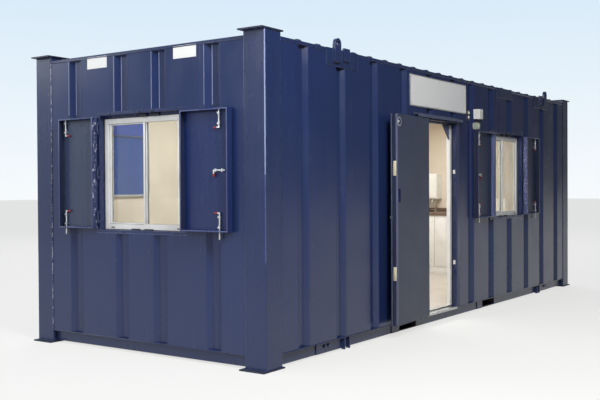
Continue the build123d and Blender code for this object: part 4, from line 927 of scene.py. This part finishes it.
# %% [markdown]
# ## The doorway
# The doorway is lined with white trim that wraps the stop the door shuts against, which
# is why a bright upright line shows beside the dark steel. The upper corners carry flat
# gussets, whose pale finish paints the reflection on their faces. A rubber seal runs round
# the stop, the face of the frame is painted a little duller than the walls, and white
# plastic keeps on the jamb take the lock bolts.

# %% Doorway trim
LINER, LINER_IN, LINING_OUT, LINING_IN = 0.0025, -1.2625, -1.2645, -1.2615
liner = bmesh.new()
for jamb, step in ((DOOR_LEFT, 1), (DOOR_RIGHT, -1)):
    x = jamb + step * STOP
    for x0, y0, y1, top in ((x - step * 0.001, STOP_Y - LINER, LINER_IN, CLEAR_TOP),
                            (jamb + step * 0.0005, STOP_Y - LINER, STOP_Y + 0.001, CLEAR_TOP),
                            (x - step * 0.050, LINING_OUT, LINING_IN, CLEAR_TOP + 0.05)):
        block(liner, (x0, y0, DECK_TOP), (x + step * LINER, y1, top))
block(liner, (DOOR_LEFT + STOP, STOP_Y + 0.021, CLEAR_TOP - LINER),
      (DOOR_RIGHT - STOP, LINER_IN, CLEAR_TOP + 0.001))
block(liner, (DOOR_LEFT - 0.02, LINING_OUT, CLEAR_TOP),
      (DOOR_RIGHT + 0.02, LINING_IN, CLEAR_TOP + 0.05))
make_piece("white_doorway_lining", liner, white_sheet, "upvc", 0.0008)

GUSSET_GAP, GUSSET_LEG, GUSSET_FRONT = 0.003, 0.150, STOP_Y + 0.0125
gussets = bmesh.new()
for jamb, step in ((DOOR_LEFT + STOP, 1), (DOOR_RIGHT - STOP, -1)):
    corners = [(jamb + step * GUSSET_GAP, CLEAR_TOP - GUSSET_GAP),
               (jamb + step * GUSSET_LEG, CLEAR_TOP - GUSSET_GAP),
               (jamb + step * GUSSET_GAP, CLEAR_TOP - GUSSET_LEG)]
    prism(gussets, *[[(x, GUSSET_FRONT - y, z) for x, z in corners] for y in (0, 0.003)])
# The gussets' pale faces paint the reflection on them.
make_piece("gusset_faces_painted_reflection", gussets, door_highlight_enamel, "frame_steel", 0.0008)

SEAL, SEAL_BACK, SEAL_FRONT = 0.0028, STOP_Y - 0.016, STOP_Y - 0.004
seal = [((x - step * 0.001, SEAL_BACK, DECK_TOP), (x + step * SEAL, SEAL_FRONT, DOOR_TOP))
        for x, step in ((DOOR_LEFT, 1), (DOOR_RIGHT, -1))]
seal.append(((DOOR_LEFT + 0.003, SEAL_BACK, DOOR_TOP - SEAL),
             (DOOR_RIGHT - 0.003, SEAL_FRONT, DOOR_TOP + 0.001)))
make_piece("door_rebate_seal", seal, rubber, "frame_steel", 0.001)
facing = [((x0, -FACE_Y - 0.002, RAIL_TOP), (x1, -FACE_Y + 0.001, FRAME_TOP)) for x0, x1 in (
    (FRAME_LEFT + 0.002, -1.016), (DOOR_RIGHT + 0.002, FRAME_RIGHT - 0.002))]
make_piece("door_frame_facing", facing, jamb_enamel, "frame_steel", 0.0009)
keeps = [((DOOR_RIGHT - 0.004, -1.352, z - 0.022), (DOOR_RIGHT + 0.001, -1.326, z + 0.022))
         for z in (0.612, 1.613)]
make_piece("white_lock_keeps", keeps, white_abs, "white_plastic", 0.001)

# %% [markdown]
# ## Electrical fittings
# The junction box has a lid with four screws and a gland below it for the cable that
# runs down to the inlet. The inlet has a hinged flap with a round window. The small
# lamp unit has a dark backing and two lenses. A lid is told from its box by the thin
# gap round it, so each lid stands a little smaller than its box.


# %% Electrical fittings
def on_front(x, out, z):
    """A place on the door side, out from its face."""
    return x, -FACE_Y - out, z


JUNCTION = (0.305, 0.405, 2.226, 2.338, 0.072)
INLET = (0.290, 0.340, 2.106, 2.181, 0.060)
LID, CABLE_OUT = 0.004, 0.030
lids = bmesh.new()
for x0, x1, z0, z1, deep in (JUNCTION, INLET):
    block(lids, on_front(x0 + LID, deep + LID, z0 + LID),
          on_front(x1 - LID, deep - 0.001, z1 - LID))
    for x in (x0 + 0.012, x1 - 0.012):
        for z in (z0 + 0.012, z1 - 0.012):
            stud(lids, on_front(x, deep + LID, z), TO_DOOR_SIDE, 0.004, 0.002)
make_piece("box_lids", lids, white_abs, "white_plastic", 0.0015)

x0, x1, z0, z1, deep = INLET
low, high = z0 + 0.001, z1 - 0.001
flap = [(on_front(x0 + 0.001, deep + 0.006, low), on_front(x1 - 0.001, deep + 0.003, high)),
        (on_front(x0 - 0.0012, deep + 0.003, low), on_front(x0 + 0.0002, 0.004, high))]
make_piece("inlet_flap", flap, olive_abs, "white_plastic", 0.0010)

cables = bmesh.new()
block(cables, on_front(0.290, 0.044, 2.046), on_front(0.334, 0, 2.066))
for x, top, low in ((0.322, 2.228, 2.178), (0.312, 2.108, 2.060)):
    tube(cables, [on_front(x, CABLE_OUT, z) for z in (top, top - 0.014, top - 0.015, low)],
         [0.013, 0.013, 0.008, 0.008])
make_piece("cable_glands", cables, rubber, "white_plastic", 0.001)

lens = bmesh.new()
tube(lens, [on_front(0.315, out, 2.146) for out in (0.0655, 0.0700, 0.0715)],
     [0.019, 0.017, 0.009], 24)
tube(lens, [on_front(0.145, out, 2.283) for out in (0.0155, 0.020, 0.024)],
     [0.0145, 0.012, 0.005], 20)
make_piece("tinted_lenses", lens, green_lens, "white_plastic")
lamp_back = [(on_front(0.113, 0.0095, 2.200), on_front(0.177, 0.0005, 2.319))]
make_piece("lamp_backing", lamp_back, dark_backing, "white_plastic", 0.003)

# %% [markdown]
# ## Blank boards
# The board over the door and the two small labels are left blank. They are thin
# composite board, so what makes them real is how they are fixed: a slim aluminium edge
# round the board and a screw near each corner.


# %% Boards
def border(x0, x1, z0, z1, wide, short=0.0):
    """Four strips inside a rectangle; the upright ones can stop short of its ends."""
    return ((x0, x1, z0, z0 + wide), (x0, x1, z1 - wide, z1),
            (x0, x0 + wide, z0 + short, z1 - short), (x1 - wide, x1, z0 + short, z1 - short))


BOARD, SCREW_IN = (-1.250, 0.090, 2.268, 2.590), 0.03
trim = bmesh.new()
for x0, x1, z0, z1 in border(*BOARD, 0.010):
    block(trim, on_front(x0, 0.0065, z0), on_front(x1, 0.0035, z1))
x0, x1, z0, z1 = BOARD
for x in (x0 + SCREW_IN, 0.5 * (x0 + x1), x1 - SCREW_IN):
    for z in (z0 + SCREW_IN, z1 - SCREW_IN):
        stud(trim, on_front(x, 0.004, z), TO_DOOR_SIDE)
for sy in (-1, 1):
    for y in (0.418, 0.642):
        for z in (2.546, 2.621):
            stud(trim, (-FACE_X - 0.003, sy * y, z), TO_WINDOW_END, 0.004)
make_piece("board_trim", trim, alloy, "threshold_alloy", 0.001)

# %% [markdown]
# ## The room
# The lining boards are 1.2 m wide and meet under white joint strips. A vinyl skirting
# covers the joint with the floor, an aluminium edge frames the felt notice board, and
# two light battens hang from the ceiling. Across the board's top a paler band of felt
# paints the reflection of the window glass, and a dark line under it paints the shadow
# of the window head.

# %% Lining trim
BOARD_PITCH, STRIP_HALF, STRIP, SKIRT_TOP, SKIRT = 1.2, 0.018, 0.003, 0.238, 0.006
SKIRT_X, SKIRT_Y, STRIP_LOW, TUCK = 3.43, 1.14, 0.24, 0.001
WINDOW_LINING = (0.8, 1.84)
strips, skirting = bmesh.new(), bmesh.new()
for k in range(-2, 4):
    x = k * BOARD_PITCH - BOARD_PITCH / 2
    x0, x1 = x - STRIP_HALF, x + STRIP_HALF
    block(strips, (x0, ROOM_Y - STRIP, STRIP_LOW), (x1, ROOM_Y + TUCK, CEILING))
    block(strips, (x0, -ROOM_Y, CEILING - STRIP), (x1, ROOM_Y, CEILING + TUCK))
    if not (DOOR_LEFT < x < DOOR_RIGHT or WINDOW_LINING[0] < x < WINDOW_LINING[1]):
        block(strips, (x0, -ROOM_Y - TUCK, STRIP_LOW), (x1, -ROOM_Y + STRIP, CEILING))
block(strips, (ROOM_X - STRIP, -STRIP_HALF, STRIP_LOW), (ROOM_X + TUCK, STRIP_HALF, CEILING))
for sx in (-1, 1):
    block(skirting, (sx * (ROOM_X - SKIRT), -SKIRT_Y, DECK_TOP),
          (sx * (ROOM_X + TUCK), SKIRT_Y, SKIRT_TOP))
block(skirting, (-SKIRT_X, ROOM_Y - SKIRT, DECK_TOP), (SKIRT_X, ROOM_Y + TUCK, SKIRT_TOP))
for x0, x1 in ((-SKIRT_X, FRAME_LEFT - 0.01), (FRAME_RIGHT + 0.01, SKIRT_X)):
    block(skirting, (x0, -ROOM_Y - TUCK, DECK_TOP), (x1, -ROOM_Y + SKIRT, SKIRT_TOP))
make_piece("joint_strips", strips, white_upvc, "upvc", 0.001)
make_piece("skirting", skirting, skirting_vinyl, "deck", 0.002)

(x0, y0, _), (x1, _, _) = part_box("notice_board")
RIM, REFLECTION_LOW, REFLECTION_TOP, SHADOW_LINE_LOW = 0.024, 2.004, 2.236, 1.978
board = [((a, y0 - 0.004, c), (b, y0 + TUCK, d))
         for a, b, c, d in border(x0, x1, 1.360, 2.260, RIM, RIM)]
make_piece("notice_board_edge", board, alloy, "threshold_alloy", 0.0015)
# A paler band paints the glass's reflection; a dark line below it paints the window head's shadow.
for name, finish, proud, low, high in (
        ("notice_board_header", felt_painted_reflection, 0.003, REFLECTION_LOW, REFLECTION_TOP),
        ("notice_board_rail", shutter_enamel, 0.0045, SHADOW_LINE_LOW, REFLECTION_LOW)):
    band = [((x0 + RIM, y0 - proud, low), (x1 - RIM, y0 + TUCK, high))]
    make_piece(name, band, finish, "felt", 0.001)

battens = bmesh.new()
for x in (-1.7, 1.7):
    block(battens, (x - 0.6, -0.045, CEILING - 0.035), (x + 0.6, 0.045, CEILING))
    tube(battens, [(x - 0.59, 0, CEILING - 0.040), (x + 0.59, 0, CEILING - 0.040)], 0.028, 16)
make_piece("light_battens", battens, white_abs, "white_plastic", 0.003)

# %% [markdown]
# ## The wash place
# At the far end stands a fixed unit: a worktop on a white front with three doors, a sink
# with a bowed tap, and a small water heater on the wall with a knob and two pipes. The
# tap is one tube along a bow, the pipes are bent tubes, and the rest are rounded blocks.

# %% Wash place
(_, UNIT_Y0, _), (_, UNIT_Y1, _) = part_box("wash_unit")
UNIT_FACE, DOORS, DOOR_GAP = 3.044, 3, 0.003
wide = (UNIT_Y1 - UNIT_Y0) / DOORS
doors = bmesh.new()
for y in [UNIT_Y0 + k * wide for k in range(DOORS)]:
    block(doors, (UNIT_FACE - 0.018, y + DOOR_GAP, 0.240),
          (UNIT_FACE + TUCK, y + wide - DOOR_GAP, 1.008))
    block(doors, (UNIT_FACE - 0.030, y + 0.030, 0.900), (UNIT_FACE - 0.016, y + 0.042, 0.990))
block(doors, (UNIT_FACE - 0.006, UNIT_Y0 + 0.002, DECK_TOP),
      (UNIT_FACE + TUCK, UNIT_Y1 - 0.002, 0.236))
make_piece("white_unit_doors", doors, white_upvc, "white_plastic", 0.002)

top = [((3.012, UNIT_Y0 - 0.001, 1.018), (3.553, UNIT_Y1 + 0.001, 1.0585)),
       ((3.541, UNIT_Y0, 1.058), (3.5535, UNIT_Y1, 1.120))]
make_piece("worktop_skin", top, brown_laminate, "deck", 0.002)

TAP_X, TAP_Y, TAP_FOOT, BOW, BOW_Z = 3.40, 0.640, 1.055, 0.06, 1.20
tap = bmesh.new()
block(tap, (3.393, 0.655, 1.09), (3.407, 0.700, 1.10))
block(tap, (3.12, 0.42, 1.0575), (3.50, 0.86, 1.0605))
bow = [(TAP_X - BOW + BOW * math.cos(t), TAP_Y, BOW_Z + BOW * math.sin(t))
       for t in [math.pi * k / 10 for k in range(1, 10)]]
tube(tap, [(TAP_X, TAP_Y, TAP_FOOT), (TAP_X, TAP_Y, BOW_Z), *bow, (3.28, TAP_Y, 1.19)], 0.011, 14)
tube(tap, [(TAP_X, TAP_Y, TAP_FOOT), (TAP_X, TAP_Y, 1.075)], 0.022, 16)
make_piece("bowed_tap_and_sink_rim", tap, stainless, "zinc", 0.001)

HEATER_X = 3.364
heater = [((HEATER_X - 0.012, 0.610, 1.280), (HEATER_X + 0.002, 0.870, 1.650))]
make_piece("water_heater_cover", heater, white_abs, "white_plastic", 0.006, 4)
knob = bmesh.new()
tube(knob, [(HEATER_X - x, 0.740, 1.330) for x in (0.010, 0.020, 0.024)],
     [0.020, 0.019, 0.014], 24)
make_piece("heater_knob", knob, dark_backing, "white_plastic")
pipes = bmesh.new()
for y in (0.66, 0.82):
    tube(pipes, [(3.46, y, 1.275), (3.46, y, 1.16), (3.50, y, 1.12), (3.50, y, 1.05)], 0.0075, 10)
make_piece("heater_pipes", pipes, stainless, "zinc")

# %% [markdown]
# ## The stage
# A large pale floor and a plain sky stand in for the yard. The floor is dull paint that
# takes the cabin's shadow. It glows a little towards the eye, the gloss and the panes,
# which brings it near white without putting more light on the cabin.

# %% Floor
FLOOR_HALF, GLOW = 100, 0.75


def shown_rays(tree):
    """One for rays from the eye, through glass or off gloss; zero for all others."""
    path = add(tree, "LightPath").outputs
    direct = add(tree, "Math", (path["Is Camera Ray"], path["Is Transmission Ray"]),
                 operation="ADD", use_clamp=True)
    return add(tree, "Math", (direct, path["Is Glossy Ray"]), operation="ADD", use_clamp=True)


floor_shape = bmesh.new()
bmesh.ops.create_grid(floor_shape, x_segments=1, y_segments=1, size=FLOOR_HALF)
floor_mesh = bpy.data.meshes.new("studio_floor")
floor_shape.to_mesh(floor_mesh)
floor_shape.free()
floor = bpy.data.objects.new("studio_floor", floor_mesh)
bpy.context.scene.collection.objects.link(floor)
ground, tree, shader = start_material("pale_floor_paint", Roughness=0.85)
shader.inputs["Base Color"].default_value = linear("#868684")
shader.inputs["Emission Color"].default_value = linear("#F4F4F2")
glow = add(tree, "MapRange", (shown_rays(tree), 0.0, 1.0, 0.0, GLOW))
tree.links.new(out_of(glow), shader.inputs["Emission Strength"])
floor.data.materials.append(ground)
print("floor", 2 * FLOOR_HALF, "m wide, glow", GLOW)

# %% [markdown]
# ## Lights
# A sky that lights everything evenly would make the cabin flat, so most of the light
# comes from soft boxes: a broad one in front of the window end, and a nearer one on the
# door side, so that the long wall falls away darker towards its far end as it does in
# shade. Small panels under the ceiling light the room.


# %% Lights
def softbox(name, place, target, size, watts, tall=None):
    """A soft light panel aimed at a point."""
    data = bpy.data.lights.new(name, "AREA")
    data.shape = "RECTANGLE"
    data.size = size
    data.size_y = tall or size
    data.energy = watts
    light = bpy.data.objects.new(name, data)
    light.location = place
    light.rotation_euler = (Vector(target) - Vector(place)).to_track_quat("-Z", "Y").to_euler()
    bpy.context.scene.collection.objects.link(light)
    print(name, "watts", watts)


softbox("end_soft", (-14, 3.2, 5.8), (-3.6, 0, 1.5), 4, 400, 6.0)
softbox("end_gleam", (-8.5, 10.5, 6.4), (-3.6, 0.6, 1.8), 5, 335)
softbox("side_soft", (-5.4, -5.2, 5.0), (-2.2, -1.4, 1.0), 1.8, 325)
softbox("edge_strip", (-12.5, -2.7, 3.8), (-2.0, -1.4, 1.4), 0.8, 150, 5.0)
softbox("back_soft", (12, 10, 9), (0, 0, 1.2), 8, 600)
for x in (-2.2, 0.0, 2.2):
    softbox("room_light", (x, 0.1, 2.50), (x, 0.1, 0), 0.9, 30)

# %% [markdown]
# ## Sky
# The sky is a soft gradient, palest at the horizon, on the side behind the back wall,
# and dim on the door side, where the real yard is closed in. The eye, the gloss and the
# panes all meet this one sky. Navy gloss shows whatever stands across from it, so the
# dim side is what keeps the long wall deep blue. What falls on the cabin as light is
# weaker, and strongest from the open side.

# %% Sky
BACKDROP_SIDE, OPEN_SIDE = (0.45, 0.89, 0.0), (-0.8, 0.6, 0.0)
world = bpy.data.worlds.new("pale_sky")
bpy.context.scene.world = world
world.use_nodes = True
sky = world.node_tree
sky.nodes.clear()
direction = add(sky, "TexCoord").outputs["Generated"]
steep = add(sky, "SeparateXYZ", {"Vector": direction}).outputs["Z"]
rise = add(sky, "MapRange", (steep, 0.0, 0.25, 0.0, 1.0))
gradient = add(sky, "Mix", {0: rise, 6: linear("#F6FAFD"), 7: linear("#D2E8F8")},
               data_type="RGBA")
to_backdrop = add(sky, "VectorMath", (direction, BACKDROP_SIDE), operation="DOT_PRODUCT")
opening = add(sky, "MapRange", (to_backdrop, 0.17, 0.45, 0.0, 1.0))
backdrop = add(sky, "Mix", {0: opening, 6: linear("#4A4946"), 7: gradient}, data_type="RGBA")
seen = add(sky, "Background", {"Color": backdrop, "Strength": 1.0})
to_open_side = add(sky, "VectorMath", (direction, OPEN_SIDE), operation="DOT_PRODUCT")
strength = add(sky, "MapRange", (to_open_side, -0.9, 0.9, 0.10, 0.36))
lit = add(sky, "Background", {"Color": linear("#E8EEF8"), "Strength": strength})
add(sky, "OutputWorld", {"Surface": add(sky, "MixShader", (shown_rays(sky), lit, seen))})
print("sky nodes", len(sky.nodes))
